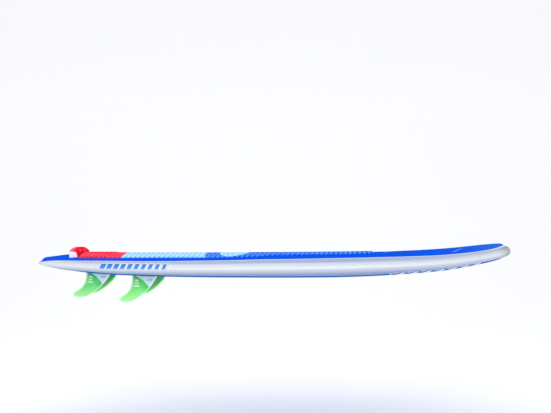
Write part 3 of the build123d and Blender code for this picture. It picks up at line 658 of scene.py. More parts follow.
def rail_normals():
    flip = [1, -1, 1]
    around = np.concatenate([RAIL[:, 3:0:-1] * flip, RAIL, RAIL[:, -2:-5:-1] * flip], axis=1)
    arc = ARC[ROWS]
    arc = np.r_[-arc[3:0:-1], arc, 2 * ARC[-1] - arc[-2:-5:-1]]
    along = np.gradient(around, arc, axis=1)[:, 3:-3]
    normals = np.cross(along, np.gradient(RAIL, axis=0))
    normals[:, 0, 1] = normals[:, -1, 1] = 0
    normals = unit(normals)
    # the rail's first row shades like the deck it meets
    crest_x, crest_y = CREST_X[ROWS], CREST_Y[ROWS]
    deck = slope_normal(deck_z, np.clip(crest_x, CREST_X[0] + 6, CREST_X[-1] - 6), crest_y)
    weight = np.clip((crest_y - 60) / 60, 0, 1)[:, None]
    normals[0] = normals[0] * (1 - weight) + deck * weight
    normals[1] = 0.5 * normals[0] + 0.5 * normals[1]
    return unit(normals)


def rail_profile():
    """Distance round the rail, up from its widest line."""
    steps = np.linalg.norm(np.diff(RAIL, axis=0), axis=2)
    run = np.concatenate([np.zeros((1, len(ROWS))), np.cumsum(steps, axis=0)])
    return run[WIDEST] - run


RAIL_NORMALS = rail_normals()
RAIL_PROFILE = rail_profile()

# Paint attributes of the hull, all mm:
#   pu, pl  how far inside the silver band, from its deck-side and its bottom-side edge
#   xs, arc X of the nearest outline point, and distance along the outline to it
#   hh      distance up or down round the rail from its widest line
WELL_INSIDE = 20.0


def make_rail(side):
    mirror = np.array([1, 1 if side == "left" else -1, 1])
    outer, inner = RAIL.copy(), RAIL - RAIL_NORMALS * SHELL
    for skin in (outer, inner):
        skin[..., 1] = np.maximum(skin[..., 1], 0.05)
    # grid rows run down the rail and columns along the board
    ob = new_object("rail_shell_" + side, *slab(outer * mirror, inner * mirror))
    if side == "left":
        ob.data.flip_normals()
    upper = (LEVELS <= 0.5)[:, None]
    x = EDGE_X[ROWS]
    paint = {
        "pu": np.where(upper, straight(BAND_TOP, x) - RAIL_INSET, np.clip(x + 1161.0, -20, 20)),
        "pl": np.where(upper, WELL_INSIDE, straight(BAND_LOW, x) - RAIL_INSET),
        "xs": x, "arc": ARC[ROWS], "hh": RAIL_PROFILE}
    for name, values in paint.items():
        attribute(ob, name, np.tile(np.broadcast_to(values, RAIL_INSET.shape).ravel(), 2))
    normals = (RAIL_NORMALS * mirror).reshape(-1, 3)
    count = len(normals)
    surface_normals(ob, np.tile(normals, (2, 1)), np.arange(2 * count) < count)
    return ob


# ---------------------------------------------------------------- deck and bottom skins
OUTLINE_TREE = plan_tree(EDGE_X, EDGE_Y)


def paint_coordinates(ob, deck):
    """Writes the paint attributes of the deck or the bottom."""
    points = vertices(ob)
    x, y = points[:, 0], points[:, 1]
    near = (half_width(np.clip(x, -1168, 1168)) - np.abs(y) < 140) | (np.abs(x) > 1000)
    inset, edge_x, arc = np.full(len(x), 200.0), x.copy(), np.full(len(x), 0.0)
    for k in np.nonzero(near)[0]:
        _, i, inset[k] = OUTLINE_TREE.find((x[k], y[k], 0))
        edge_x[k], arc[k] = EDGE_X[i], ARC[i]
    attribute(ob, "pu", straight(BAND_TOP, edge_x) - inset if deck else WELL_INSIDE)
    attribute(ob, "pl", WELL_INSIDE if deck else straight(BAND_LOW, edge_x) - inset)
    attribute(ob, "xs", edge_x)
    attribute(ob, "arc", arc)
    attribute(ob, "hh", (1 if deck else -1) * (60.0 + inset))


def skin_normals(ob, surface, up, line_x, line_y, level):
    """Exact normals that turn into the rail's own beside it, so the pieces shade as one."""
    points = vertices(ob)
    x, y = points[:, 0], points[:, 1]
    normals = slope_normal(surface, x, y, up)
    outer = np.abs(points[:, 2] - surface(x, y)) < 0.6
    near = (np.interp(x, line_x, line_y) - np.abs(y) < 12) | (np.abs(x) > 1090)
    tree = plan_tree(line_x[ROWS], line_y[ROWS])
    for k in np.nonzero(outer & near)[0]:
        _, i, distance = tree.find((x[k], y[k], 0))
        weight = max(0.0, 1 - distance / 10.0)
        rail = RAIL_NORMALS[level, i] * [1, 1 if y[k] >= 0 else -1, 1]
        if up > 0 and abs(y[k]) < 1e-3:
            rail = rail * [1, 0, 1]
        normals[k] = normals[k] * (1 - weight) + rail * weight
    surface_normals(ob, unit(normals), outer)


def spread(count, reach):
    """Stations from -1 to 1, closer together toward the ends."""
    return (np.sin(np.linspace(-1, 1, count) * np.pi / 2 * reach)
            / math.sin(np.pi / 2 * reach))


def make_deck():
    rows = ROWS[1:-1]
    across = spread(97, 0.86)[None, :]
    x = np.repeat(CREST_X[rows][:, None], across.size, 1)
    y = CREST_Y[rows][:, None] * across
    z = CREST_Z[rows][:, None] + dome(CREST_X[rows])[:, None] * (1 - across ** 2)
    top = np.dstack([x, y, z])
    ob = new_object("deck_shell", *slab(top, top - [0, 0, SHELL]))
    handle = round_rect(HANDLE_L + CUT_SLACK, HANDLE_W + CUT_SLACK, 16, HANDLE_X)
    boolean(ob, prism(handle, 60, 140))
    boolean(ob, prism(circle(MAST_CUT_R, 72, MAST_X), 60, 140))
    for x, radius, depth in ((VENT_X, VENT_CUT_R, VENT_CUT_DEPTH),
                             (LEASH_X, LEASH_CUT_R, LEASH_CUT_DEPTH)):
        tilt = math.degrees(math.atan2(float(z_deck(x + 20) - z_deck(x - 20)), 40))
        place = place_matrix(x, 0, float(z_deck(x)), ry=-tilt)
        boolean(ob, prism(circle(radius, 72), -depth, 30, place))
    paint_coordinates(ob, deck=True)
    skin_normals(ob, deck_z, 1.0, CREST_X, CREST_Y, level=0)
    return ob


def fin_places():
    """Side (1 left, -1 right) and placement of each fin."""
    fins = {}
    for where, (x, y) in FIN_PLACES.items():
        behind, ahead = float(bottom_z(x - 60, y)), float(bottom_z(x + 60, y))
        pitch = -math.degrees(math.atan2(ahead - behind, 120))
        for name, side in (("right", -1), ("left", 1)):
            fins[f"{where}_{name}"] = (side, place_matrix(
                x, side * y, (behind + ahead) / 2, -side * TOE, pitch, side * CANT))
    return fins


FINS = fin_places()


def make_bottom():
    rows = ROWS[1:-1]
    across = spread(121, 0.93)[None, :]
    x = np.repeat(LOWER_X[rows][:, None], across.size, 1)
    y = LOWER_Y[rows][:, None] * across
    z = bottom_z(x, y)
    z[:, 0] = z[:, -1] = LOWER_Z[rows]
    low = np.dstack([x, y, z])
    ob = new_object("bottom_shell", *slab(low + [0, 0, SHELL], low))
    for _, place in FINS.values():
        box = round_rect(BOX_L + CUT_SLACK, BOX_W + CUT_SLACK, BOX_R)
        boolean(ob, prism(box, -8, 27, place))
    paint_coordinates(ob, deck=False)
    skin_normals(ob, bottom_z, -1.0, LOWER_X, LOWER_Y, level=-1)
    return ob


# ---------------------------------------------------------------- hull paint
def lit_silver_cloth(paint, xs, arc, hh):
    """Woven cloth under the lacquer, with a painted highlight along the widest line and painted
    shade toward both edges of the band and toward the nose. Returns weave and colour.
    """
    net_long, net_high = 22.0, 12.0             # mm, diamonds of the weave
    thread_long, thread_high = 2.2, 1.4         # mm per radian, single threads
    rising = arc / net_long + hh / net_high
    falling = arc / net_long - hh / net_high
    cell = ((rising.fract() - 0.5).abs() * 2.0).min((falling.fract() - 0.5).abs() * 2.0)
    thread = (arc / thread_long).sin() * (hh / thread_high).sin()
    weave = cell.step(0.0, 0.55)
    cloth = paint.noise(scale=60, detail=4, rough=0.6)
    # the weave shows more away from the widest line, fainter under the painted highlight
    contrast = ((hh / 16.0).abs() * 0.10 + 0.10).min(0.24)
    tone = weave * contrast + thread * 0.02 + cloth * 0.08 + 0.84
    # painted light: a highlight along the rail's widest line, painted shade toward the top and
    # bottom of the band
    base = paint.ramp((hh + 45.0) / 90.0, [
        (0.0, "8092b4"), (0.22, "93a3c2"), (0.42, "ccd6e8"), (0.53, "f4f7fd"), (0.66, "dce3f1"),
        (0.84, "a4b2cc"), (1.0, "94a4c4")])
    # painted shade on the silver toward the nose
    nose_shade = xs.step(1060, 1150) * -0.45 + 1.0
    return weave, paint.scale_colour(base, tone * nose_shade)


def slanted_stripes(paint, colour, xs, hh, height):
    """Broad blue stripes with pale halos, thinning toward the nose. Returns mask and colour."""
    start, end, pitch = -815, -486, 33.0        # mm along the board
    low, high = 37.0, 62.5                      # mm above the flat of the bottom
    lean = xs - (height - 36.0) * 0.40
    slant = (lean - start if start > 0 else lean + -start) / pitch
    width = (xs + -start) / 330.0 * -0.30 + 0.80
    side = hh.between(-40, 40, 1.0)
    stripe = (width - slant.fract()).step(-0.016, 0.016) * slant.fract().step(0.0, 0.02)
    stripe = stripe * height.between(low, high, 0.4) * lean.between(start, end, 0.5) * side
    stripe_colour = paint.ramp((height - low) / 26.0,
                               [(0.0, "86b6f2"), (0.45, "1f84e8"), (1.0, "066fd8")])
    # the halo reaches 3 mm past the stripes all round
    halo = (width + 0.10 - slant.fract()).step(-0.012, 0.012) + slant.fract().step(0.93, 0.95)
    halo = (halo.clamp() * height.between(low - 3, high + 3, 0.4)
            * lean.between(start - 3, end + 3, 0.5) * side)
    colour = paint.mix(halo * 0.65, colour, rgb("eef2fb"))
    return stripe, paint.mix(stripe, colour, stripe_colour)


def tuck_colour(paint, cloud, xs, hh):
    """Blue under the rail with slanted white bars toward the nose."""
    bar = (xs / 63.0 - hh * 0.010).fract()
    bars = (bar.between(0.12, 0.46, 0.01) * xs.between(532, 985, 0.5)
            * hh.between(-140.0, -12.0, 0.5))
    return paint.mix(bars, paint.mix(cloud, rgb("1f6cc4"), rgb("125ab8")), rgb("f4f7fc"))


def hull_paint(name, deck=False):
    """Blue lacquer, silver rail band with pale pin lines, and stripes, under clear gloss."""
    paint = Material(name, rough=0.4, spec=0.0)
    pu, pl, xs, arc, hh = (paint.attr(key) for key in ("pu", "pl", "xs", "arc", "hh"))
    silver = pu.step(-0.35, 0.35) * pl.step(-0.35, 0.35)
    weave, silver_colour = lit_silver_cloth(paint, xs, arc, hh)
    *plan, z = paint.position("xyz" if deck else "z")
    stripe, silver_colour = slanted_stripes(paint, silver_colour, xs, hh, z + MAST_Z)
    cloud = paint.noise(scale=5, detail=2, rough=0.5)
    blue = paint.mix(cloud.step(0.35, 0.65) * 0.6, rgb("0055e6"), rgb("004ed8"))
    if deck:
        # a faint pale sweep on each side of the fore deck, and a paler blue toward the nose that is
        # a painted reflection
        x, y = plan
        sweep = (x + y.abs() * 0.55 - 905.0).between(-9, 9, 2.0) * y.abs().between(95, 215, 6)
        blue = paint.mix(sweep * 0.35, blue, rgb("9fb4f2"))
        blue = paint.mix(x.step(700, 1120) * 0.55, blue, rgb("3a74cc"))
    below = pl.step(0.35, -0.35)
    pin = pu.between(-2.4, 7.5, 0.4) * pl.step(-0.3, 0.3)
    low_pin = pl.between(-0.3, 2.2, 0.3)
    colour = paint.mix(silver, blue, silver_colour)
    colour = paint.mix(below, colour, tuck_colour(paint, cloud, xs, hh))
    colour = paint.mix(pin * (1.0 - below), colour, rgb("e1e3ed"))
    colour = paint.mix(low_pin, colour, rgb("c6d2ea"))
    paint.set("Base Color", colour)
    paint.set("Metallic", silver * (1.0 - stripe) * 0.25)
    grain = paint.noise(scale=900, detail=2, rough=0.5)
    paint.set("Roughness", silver * 0.12 + grain * 0.05 + 0.32)
    paint.set("Specular IOR Level", silver * 0.25)
    paint.gloss(silver * 0.03 + 0.006, rough=0.10)
    ripple = paint.noise(scale=14, detail=2, rough=0.5)
    paint.bump(weave * silver * 0.5 + ripple * 0.6, distance=0.00012, strength=0.5)
    return paint


DECK_LACQUER = hull_paint("deck_lacquer", deck=True)
RAIL_CLOTH = hull_paint("rail_cloth")
BOTTOM_LACQUER = hull_paint("bottom_lacquer")
for _side in ("left", "right"):
    fit(make_rail(_side), "hull", "rail_silver", RAIL_CLOTH, "rail_" + _side)
fit(make_deck(), "hull", "deck_blue", DECK_LACQUER, "deck_skin")
fit(make_bottom(), "hull", "bottom_blue", BOTTOM_LACQUER, "bottom_skin")


# ---------------------------------------------------------------- foam pads
def pad_outline(x0, x1, front=False, bow0=0.0, bow1=0.0):
    """Closed outline of the pads between two stations, counter-clockwise. bow0 and bow1 pull the
    middle of each end toward the tail."""
    x = np.linspace(x0, min(x1, PAD_EDGE_END), 140)
    half = list(zip(x.tolist(), through(PAD_EDGE, x).tolist()))
    if front:
        half += PAD_FRONT
    y0, y1 = half[0][1], half[-1][1]
    across = np.linspace(-1, 1, 41)[1:-1]
    end0 = [(x0 - bow0 * (1 - t * t), t * y0) for t in across[::-1]] if bow0 else []
    end1 = [(x1 - bow1 * (1 - t * t), t * y1) for t in across] if bow1 else []
    right = [(x, -y) for x, y in half if y > 0]
    return np.array(right + end1 + half[::-1] + end0)


def inlay_outline(grow=0.0):
    """Closed outline of the inlaid band, counter-clockwise, widened by grow."""
    table = np.array(INLAY, float)
    run = travel(table)
    at = np.linspace(0, run[-1], 200)
    left = np.c_[monotone(run, table[:, 0], at), monotone(run, table[:, 1], at)]
    along = np.gradient(left, axis=0)
    along /= np.hypot(along[:, 0], along[:, 1])[:, None]
    left = left + grow * np.c_[-along[:, 1], along[:, 0]]
    left[:, 1] = np.maximum(left[:, 1], 0)
    left[0, 1] = left[-1, 1] = 0
    right = [(x, -y) for x, y in left[::-1] if y > 1e-6]
    return np.array(left.tolist() + right)[::-1]


def diamonds(x, y, pitch_y=40.0):
    """Distance in mm from the nearest groove of a diamond net."""
    scale = 1 / math.hypot(1 / GROOVE_PITCH, 1 / pitch_y)
    nets = x / GROOVE_PITCH + y / pitch_y, x / GROOVE_PITCH - y / pitch_y
    return np.minimum(*(np.abs((net + 0.5) % 1.0 - 0.5) * scale for net in nets))


def pillow(distance, width, height):
    """Rise of a foam cushion away from a groove."""
    t = np.clip(distance / width, 0, 1)
    return height * np.sqrt(np.clip(1 - (1 - t) ** 2, 0, 1))


def net_relief(groove_width, cushion_width, depth):
    """Flat foam with a long diamond net. The relief gives foam height and groove mask from
    X, Y and the distance to the pad's edge."""
    def relief(x, y, edge):
        net = diamonds(x, y, 160.0)
        inner = np.clip((edge - 3.0) / 3.0, 0, 1)
        groove = np.clip(1 - net / groove_width, 0, 1) * inner
        return PAD + (pillow(net, cushion_width, depth) - depth) * inner, groove
    return relief


def tail_relief(x, y, edge):
    """Thick foam with deep soft ribs behind, shallower toward the middle of the board."""
    thick = PAD + (TAIL_PAD - PAD) * smoothstep((TAIL_PAD_X + 1.5 - x) / 6.0)
    rear = np.clip((TAIL_PAD_X - x) / 10.0, 0, 1)
    net = diamonds(x, y)
    inner = np.clip((edge - 2.0) / 4.0, 0, 1)
    rib = np.abs((x / GROOVE_PITCH + 0.5) % 1.0 - 0.5) * GROOVE_PITCH
    nearest = np.minimum(net, np.where(rear > 0.5, rib * 0.7, 99))
    groove = np.clip(1 - nearest / 3.0, 0, 1) * inner
    net_depth = (pillow(net, 5.5, 1.0) - 1.0) * 1.3
    rib_depth = (pillow(rib, GROOVE_PITCH / 2, 1.0) - 1.0) * 2.6 * rear
    return thick + (net_depth + rib_depth) * inner, groove


PAD_STEP = 1.75


def make_pad(name, outline, holes, relief):
    lo, hi = outline.min(0) - PAD_STEP, outline.max(0) + PAD_STEP
    axes = [np.linspace(lo[k], hi[k], int((hi[k] - lo[k]) / PAD_STEP) + 2) for k in (0, 1)]
    x, y = np.meshgrid(*axes, indexing="ij")
    base = deck_z(x, y) + PAD_GAP
    border = np.concatenate([resample(line, step=0.7) for line in [outline] + holes])
    tree = plan_tree(border[:, 0], border[:, 1], sides=(1,))
    edge = np.array([tree.find((px, py, 0))[2] for px, py in zip(x.ravel(), y.ravel())])
    edge = edge.reshape(x.shape)
    height, groove = relief(x, y, edge)
    rim = np.clip(PAD_RIM - edge, 0, PAD_RIM)
    height = height - (PAD_RIM - np.sqrt(np.maximum(PAD_RIM ** 2 - rim ** 2, 0)))
    ob = new_object(name, *slab(np.dstack([x, y, base + height]), np.dstack([x, y, base])))
    attribute(ob, "groove", np.r_[groove.ravel(), np.ones(groove.size)])
    boolean(ob, prism(outline, 40, 190), "INTERSECT")
    for hole in holes:
        boolean(ob, prism(hole, 40, 190))
    smooth(ob, 48)
    return ob


def eva(name, colour, groove_shade_colour, wear_and_highlight_colour, crown=0.0, crown_pitch=None):
    """Closed-cell foam: fine grain, grooves darkened with painted shade, and painted highlights on
    the crown of each pillow.

    crown is the strength of the painted crown highlight, crown_pitch its spacing across the board
    in mm."""
    foam = Material(name, rough=0.62, spec=0.0)
    foam.gloss(0.006, rough=0.45)
    groove = foam.attr("groove")
    grain = foam.noise(scale=2600, detail=2, rough=0.6)
    cells = foam.voronoi(scale=1500)
    wear = foam.noise(scale=9, detail=4, rough=0.6)
    col = foam.mix(wear.step(0.35, 0.7) * 0.25, rgb(colour), rgb(wear_and_highlight_colour))
    # painted shade in the grooves
    col = foam.mix(groove * 0.8, col, rgb(groove_shade_colour))
    if crown:
        x, y = foam.position("xy")
        x = x + MAST_X
        rising = x / GROOVE_PITCH + y / crown_pitch
        falling = x / GROOVE_PITCH - y / crown_pitch
        rising, falling = (rising.fract() - 0.5).abs(), (falling.fract() - 0.5).abs()
        # painted highlights on the crown of each pillow
        crown_highlights = falling.step(0.32, 0.14) * (rising.step(0.46, 0.30) * 0.65 + 0.35)
        col = foam.mix(crown_highlights * crown, col, rgb(wear_and_highlight_colour))
    foam.set("Base Color", foam.scale_colour(col, grain * 0.10 + 0.95))
    foam.set("Sheen Tint", (1, 1, 1, 1))
    foam.set("Roughness", grain * 0.10 + 0.57)
    foam.bump(grain * 0.5 + cells * 0.5, distance=0.0003, strength=0.55)
    return foam


# name, colour, groove colour painted as shade, colour of the pale wear and of the painted crown
# highlight, crown highlight strength, crown pitch
FOAMS = {row[0]: eva(*row) for row in (
    ("eva_red", "ff2848", "dc1434", "ff6880", 0.6, 230.0),
    ("eva_dark_red", "ff405e", "d81838", "ff7088", 0.5, 60.0),
    ("eva_white", "f6f3f0", "d4d1d0", "ffffff"),
    ("eva_light_blue", "7ecafa", "52acee", "ccf0ff", 1.0, 320.0),
    ("eva_blue", "0060f2", "0048d0", "6cb0ff", 0.75, 230.0),
    ("eva_kick_top", "ff566e", "ea3450", "ff8c9e", 0.5, 34.0),
    ("eva_kick_face", "fa0030", "c80028", "ff2a4a"))}
# the white foam of the kick bar glows a little: painted light
FOAMS["eva_white"].set("Emission Color", (1.0, 0.97, 0.93, 1))
FOAMS["eva_white"].set("Emission Strength", 0.16)

STANDARD_NET = net_relief(groove_width=2.6, cushion_width=5.0, depth=1.3)
FINE_NET = net_relief(groove_width=2.2, cushion_width=3.6, depth=1.1)
FRONT_HOLES = [round_rect(HANDLE_L + 6, HANDLE_W + 6, 18, HANDLE_X),
               circle(MAST_PAD_R, 90, MAST_X), inlay_outline(PAD_SEAM)]
# object, outline, holes, relief, finish, CAD node
PADS = [
    ("tail_foam", pad_outline(PAD_TAIL, RED_EDGE), [], tail_relief, "eva_red", "tail_pad"),
    ("mid_foam", pad_outline(RED_EDGE + PAD_SEAM, LIGHT_EDGE, bow1=PAD_BOW), [],
     STANDARD_NET, "eva_light_blue", "mid_pad"),
    ("front_foam", pad_outline(LIGHT_EDGE + PAD_SEAM, PAD_NOSE, front=True, bow0=PAD_BOW),
     FRONT_HOLES, STANDARD_NET, "eva_blue", "front_pad"),
    ("inlay_foam", inlay_outline(), [], FINE_NET, "eva_light_blue", "pad_inlay")]
for _name, _outline, _holes, _relief, _foam, _node in PADS:
    fit(make_pad(_name, _outline, _holes, _relief), "hull", _foam, FOAMS[_foam], _node)


# ---------------------------------------------------------------- kick bar across the tail
def rounded(points, radii):
    """Polygon with its corners rounded."""
    points = np.asarray(points, float)
    result = []
    for k, corner in enumerate(points):
        back, ahead = points[k - 1] - corner, points[(k + 1) % len(points)] - corner
        back_length, ahead_length = np.linalg.norm(back), np.linalg.norm(ahead)
        back, ahead = back / back_length, ahead / ahead_length
        half = math.acos(np.clip(np.dot(back, ahead), -1, 1)) / 2
        cut = min(radii[k] / math.tan(half), back_length * 0.45, ahead_length * 0.45)
        start, end = corner + back * cut, corner + ahead * cut
        for t in np.linspace(0, 1, 7):
            result.append((1 - t) ** 2 * start + 2 * t * (1 - t) * corner + t * t * end)
    return np.array(result)


def slope_x(z, back=0.0):
    """X of the bar's sloping front face at a height, moved toward the tail by back."""
    share = (z - KICK_LOW_Z) / (KICK_Z_MID + 5 - KICK_LOW_Z)
    return KICK_X1 - back + share * (KICK_TOP_X1 - KICK_X1)


def kick_crown(y):
    return KICK_Z_MID - (KICK_Z_MID - KICK_Z_END) * abs(y / KICK_HALF) ** 2.6


def foot(y, back=0.0):
    """Where the sloping face meets the deck, found by repeated steps."""
    x = KICK_X1 - 6.0 - back
    for _ in range(6):
        z = float(deck_z(x, y)) + PAD_GAP
        x = slope_x(z, back)
    return x, z


def kick_ring(part, y):
    """(X, Z) section of the white block, or of the sheet on its top or front face."""
    crown = kick_crown(y)
    under = crown - KICK_SHEET
    inner_top = (slope_x(under, KICK_SHEET), under)
    inner_x, inner_z = foot(y, KICK_SHEET)
    if part == "block":
        rear = float(deck_z(KICK_X0, y)) + PAD_GAP
        points = [(KICK_X0, rear), (inner_x, inner_z), inner_top, (KICK_X0, under)]
        return rounded(points, [0.6, 1.0, 4.0, 1.2])
    if part == "top":
        points = [(KICK_X0, under), (-967.2, under), (-966.6, crown), (KICK_TOP_X0, crown)]
        return rounded(points, [0.4, 0.3, 0.5, 1.4])
    points = [(inner_x + 0.1, inner_z), foot(y), (slope_x(crown), crown), (-966.4, crown),
              (-967.0, under), inner_top]
    return rounded(points, [0.4, 0.6, 5.0, 0.3, 0.3, 4.0])


# how far the pillows move the surface in X and Z
KICK_PRESS = {"top": (0.0, 1.0), "face": (0.35, 0.12)}


def kick_net(part, x, y, z):
    along = x * (2.0 if part == "top" else 1.0) + z * (1.4 if part == "face" else 0.0)
    return diamonds(along, y, 26.0)


def make_kick(part, count):
    turn = np.linspace(0, np.pi / 2, 6)[1:]
    flat = KICK_HALF - KICK_END
    ends = list(zip(flat + KICK_END * np.sin(turn), KICK_END * (1 - np.cos(turn))))
    stations = [(-y, inset) for y, inset in ends[::-1]]
    stations += [(y, 0.0) for y in np.linspace(-flat, flat, 150)] + ends
    loops = []
    for y, inset in stations:
        ring = resample(kick_ring(part, y), count=count)
        centre = ring.mean(0)
        offset = ring - centre
        ring = centre + offset * (1 - np.minimum(inset / np.abs(offset).max(0), 0.8))
        if part != "block":
            # soft pillows pressed into the outer face
            x, z = ring.T
            outer = z > kick_crown(y) - 2.2 if part == "top" else x > slope_x(z) - 1.2
            rise = (pillow(kick_net(part, x, y, z), 6.0, 1.0) - 1.0) * outer
            ring = ring + rise[:, None] * KICK_PRESS[part]
        loops.append(np.c_[ring[:, 0], np.full(count, y), ring[:, 1]])
    ob = new_object("kick_" + part + "_foam", *rings(loops))
    face_outward(ob)
    net = kick_net(part, *vertices(ob).T)
    attribute(ob, "groove", np.clip(1 - net / 2.4, 0, 1) * (part == "top"))
    smooth(ob, 50)
    return ob


def paint_kick_bars(foam):
    """Two pairs of slanted pale bars on the face of the kick bar."""
    y, z = foam.position("yz")
    lean = y + (z - 20.0) * 0.5
    bars = [at.between(-3.5, 3.5, 0.4) for at in (lean + 60.0, lean + 44.0, lean - 44.0,
                                                  lean - 60.0)]
    mask = (bars[0] + bars[1] + bars[2] + bars[3]).clamp() * z.between(13.0, 22.0, 0.4)
    plain = Value(foam.tree, foam.bsdf.inputs["Base Color"].links[0].from_socket)
    foam.set("Base Color", foam.mix(mask * 0.55, plain, rgb("ffc9cf")))


paint_kick_bars(FOAMS["eva_kick_face"])
# part, points in its section, slot, finish
for _part, _count, _slot, _foam in (("block", 90, "eva_white", "eva_white"),
                                    ("top", 90, "eva_red", "eva_kick_top"),
                                    ("face", 110, "eva_dark_red", "eva_kick_face")):
    fit(make_kick(_part, _count), "hull", _slot, FOAMS[_foam], "kick_" + _part)

# ---------------------------------------------------------------- fins
FIN_TIP = 126.6                                 # depth of the blade
FOIL_POINTS, FLAT_POINTS = 34, 24               # points on the curved and on the flat face
SCREW_X, PIN_X, PIN_Z = 63.5, -48, 14.5         # holes in the tongue and through the base


def cosine(count):
    return (1 - np.cos(np.linspace(0, np.pi, count))) / 2


def blade_ring(depth, shrink, thin):
    """(X, Y) section of the blade, with its trailing and leading edge."""
    trail = float(monotone(FIN_ROWS[:, 0], FIN_ROWS[:, 1], depth))
    lead = float(monotone(FIN_ROWS[:, 0], FIN_ROWS[:, 2], depth))
    middle, half = (trail + lead) / 2, (lead - trail) / 2 * (1 - shrink)
    trail, lead = middle - half, middle + half
    share, chord = depth / FIN_TIP, lead - trail
    thick = min(FIN_T * (1 - 0.45 * share - 0.30 * share ** 4), 0.30 * chord) * thin
    u, w = cosine(FOIL_POINTS), cosine(FLAT_POINTS)
    curved = np.c_[lead - u * chord, -0.45 * thick + through(FOIL, u) * thick]
    flat = np.c_[trail + w * chord, np.full(FLAT_POINTS, -0.45 * thick)]
    return np.r_[curved, flat], trail, lead


def rounded_box(low, high, bevel):
    bm = bmesh.new()
    bmesh.ops.create_cube(bm, size=1.0)
    for v in bm.verts:
        v.co = Vector([a + (c + 0.5) * (b - a) for a, b, c in zip(low, high, v.co)])
    bmesh.ops.bevel(bm, geom=bm.edges[:], offset=bevel, segments=3, profile=0.5, affect="EDGES")
    bm.verts.index_update()
    verts = np.array([list(v.co) for v in bm.verts])
    faces = [[v.index for v in face.verts] for face in bm.faces]
    bm.free()
    return verts, faces


def fin_object(name, verts, faces, where):
    """Object drawn in fin coordinates; right-hand fins are mirrored."""
    side, place = FINS[where]
    if side < 0:
        verts = verts * [1, -1, 1]
        faces = [face[::-1] for face in faces]
    return new_object(name + where, verts, faces, place)


# Paint attributes of the fins: fx and fd are X and depth below the base line, fe the distance
# in from the nearest edge, fs 1 on the curved outer face and -1 on the flat inner face.
def make_blade(where):
    # section depth, depth it is placed at, chord shrink, thickness factor
    depths = np.r_[-1.2, np.linspace(0, 126.0, 72), FIN_TIP]
    sections = [(max(d, 0.0), d, 0.0, 1.0) for d in depths]
    sections += [(FIN_TIP, 127.1, 0.07, 0.75), (FIN_TIP, 127.45, 0.22, 0.45)]
    loops, paint = [], {"fx": [], "fd": [], "fe": [], "fs": []}
    for depth, placed, shrink, thin in sections[::-1]:
        ring, trail, lead = blade_ring(depth, shrink, thin)
        x = ring[:, 0]
        loops.append(np.c_[ring, np.full(len(x), -placed)])
        paint["fx"].append(x)
        paint["fd"].append(np.full(len(x), placed))
        paint["fe"].append(np.minimum(np.minimum(x - trail, lead - x), 127.6 - placed))
        paint["fs"].append(np.r_[np.ones(FOIL_POINTS), -np.ones(FLAT_POINTS)])
    ob = fin_object("fin_blade_", *rings(loops), where)
    for name, values in paint.items():
        attribute(ob, name, np.array(values).ravel())
    face_outward(ob)
    smooth(ob, 35)
    return ob


def make_fin(where):
    """Blade, the base that fills the slot, and the tongue under the screw."""
    place, half = FINS[where][1], TAB_T / 2
    blade = make_blade(where)
    base = fin_object("fin_base_", *rounded_box((-58, -half, 0.05), (57, half, 20.0), 0.7), where)
    boolean(base, prism(circle(2.55, 40), -20, 20, place, (PIN_X, 0, PIN_Z), along_y=True))
    tongue = fin_object("fin_tongue_", *rounded_box((56.95, -half, 4.5), (70, half, 11.2), 0.6),
                        where)
    boolean(tongue, prism(circle(2.05, 40), -5, 20, place, (SCREW_X, 0, 0)))
    boolean(tongue, prism(circle(3.9, 48), -5, 6.6, place, (SCREW_X, 0, 0)))
    for ob in (base, tongue):
        smooth(ob, 35)
        for name, value in (("fd", 3.0), ("fx", 30.0), ("fe", 20.0), ("fs", -1.0)):
            attribute(ob, name, value)
    return blade, base, tongue


def fin_panel(paint, fx, fd):
    """Pale blue panel at the root with green marks, darker toward the root as painted shadow of the
    board; returns its colour.
    """
    def mark(lo, hi, top, bottom, soft):
        return (fx + fd * 0.4).between(lo, hi, 0.4) * fd.between(top, bottom, soft)

    # darker at the root: painted shadow of the board
    colour = paint.ramp(fd / 57.0, [(0.0, "94bbd2"), (0.18, "b9d6e4"), (0.6, "cfe6ee"),
                                    (1.0, "dff0f5")])
    dash = mark(20, 36, 6.2, 8.4, 0.3)
    blocks = mark(21, 30, 16, 26, 0.4) + mark(33, 42, 16, 26, 0.4)
    colour = paint.mix(dash * 0.7, colour, rgb("5fa58c"))
    return paint.mix(blocks.clamp() * 0.7, colour, rgb("4aa883"))


def fin_bars(fx, fd):
    """Three slanted bars near the trailing edge."""
    lean = fx + fd * 0.30
    bars = [fd.between(top, bottom, 0.4) * lean.between(lo, hi, 0.5)
            for top, bottom, lo, hi in ((22, 28, -36, -20), (34, 40, -34, -14), (46, 54, -34, -8))]
    return (bars[0] + bars[1] + bars[2]).clamp()


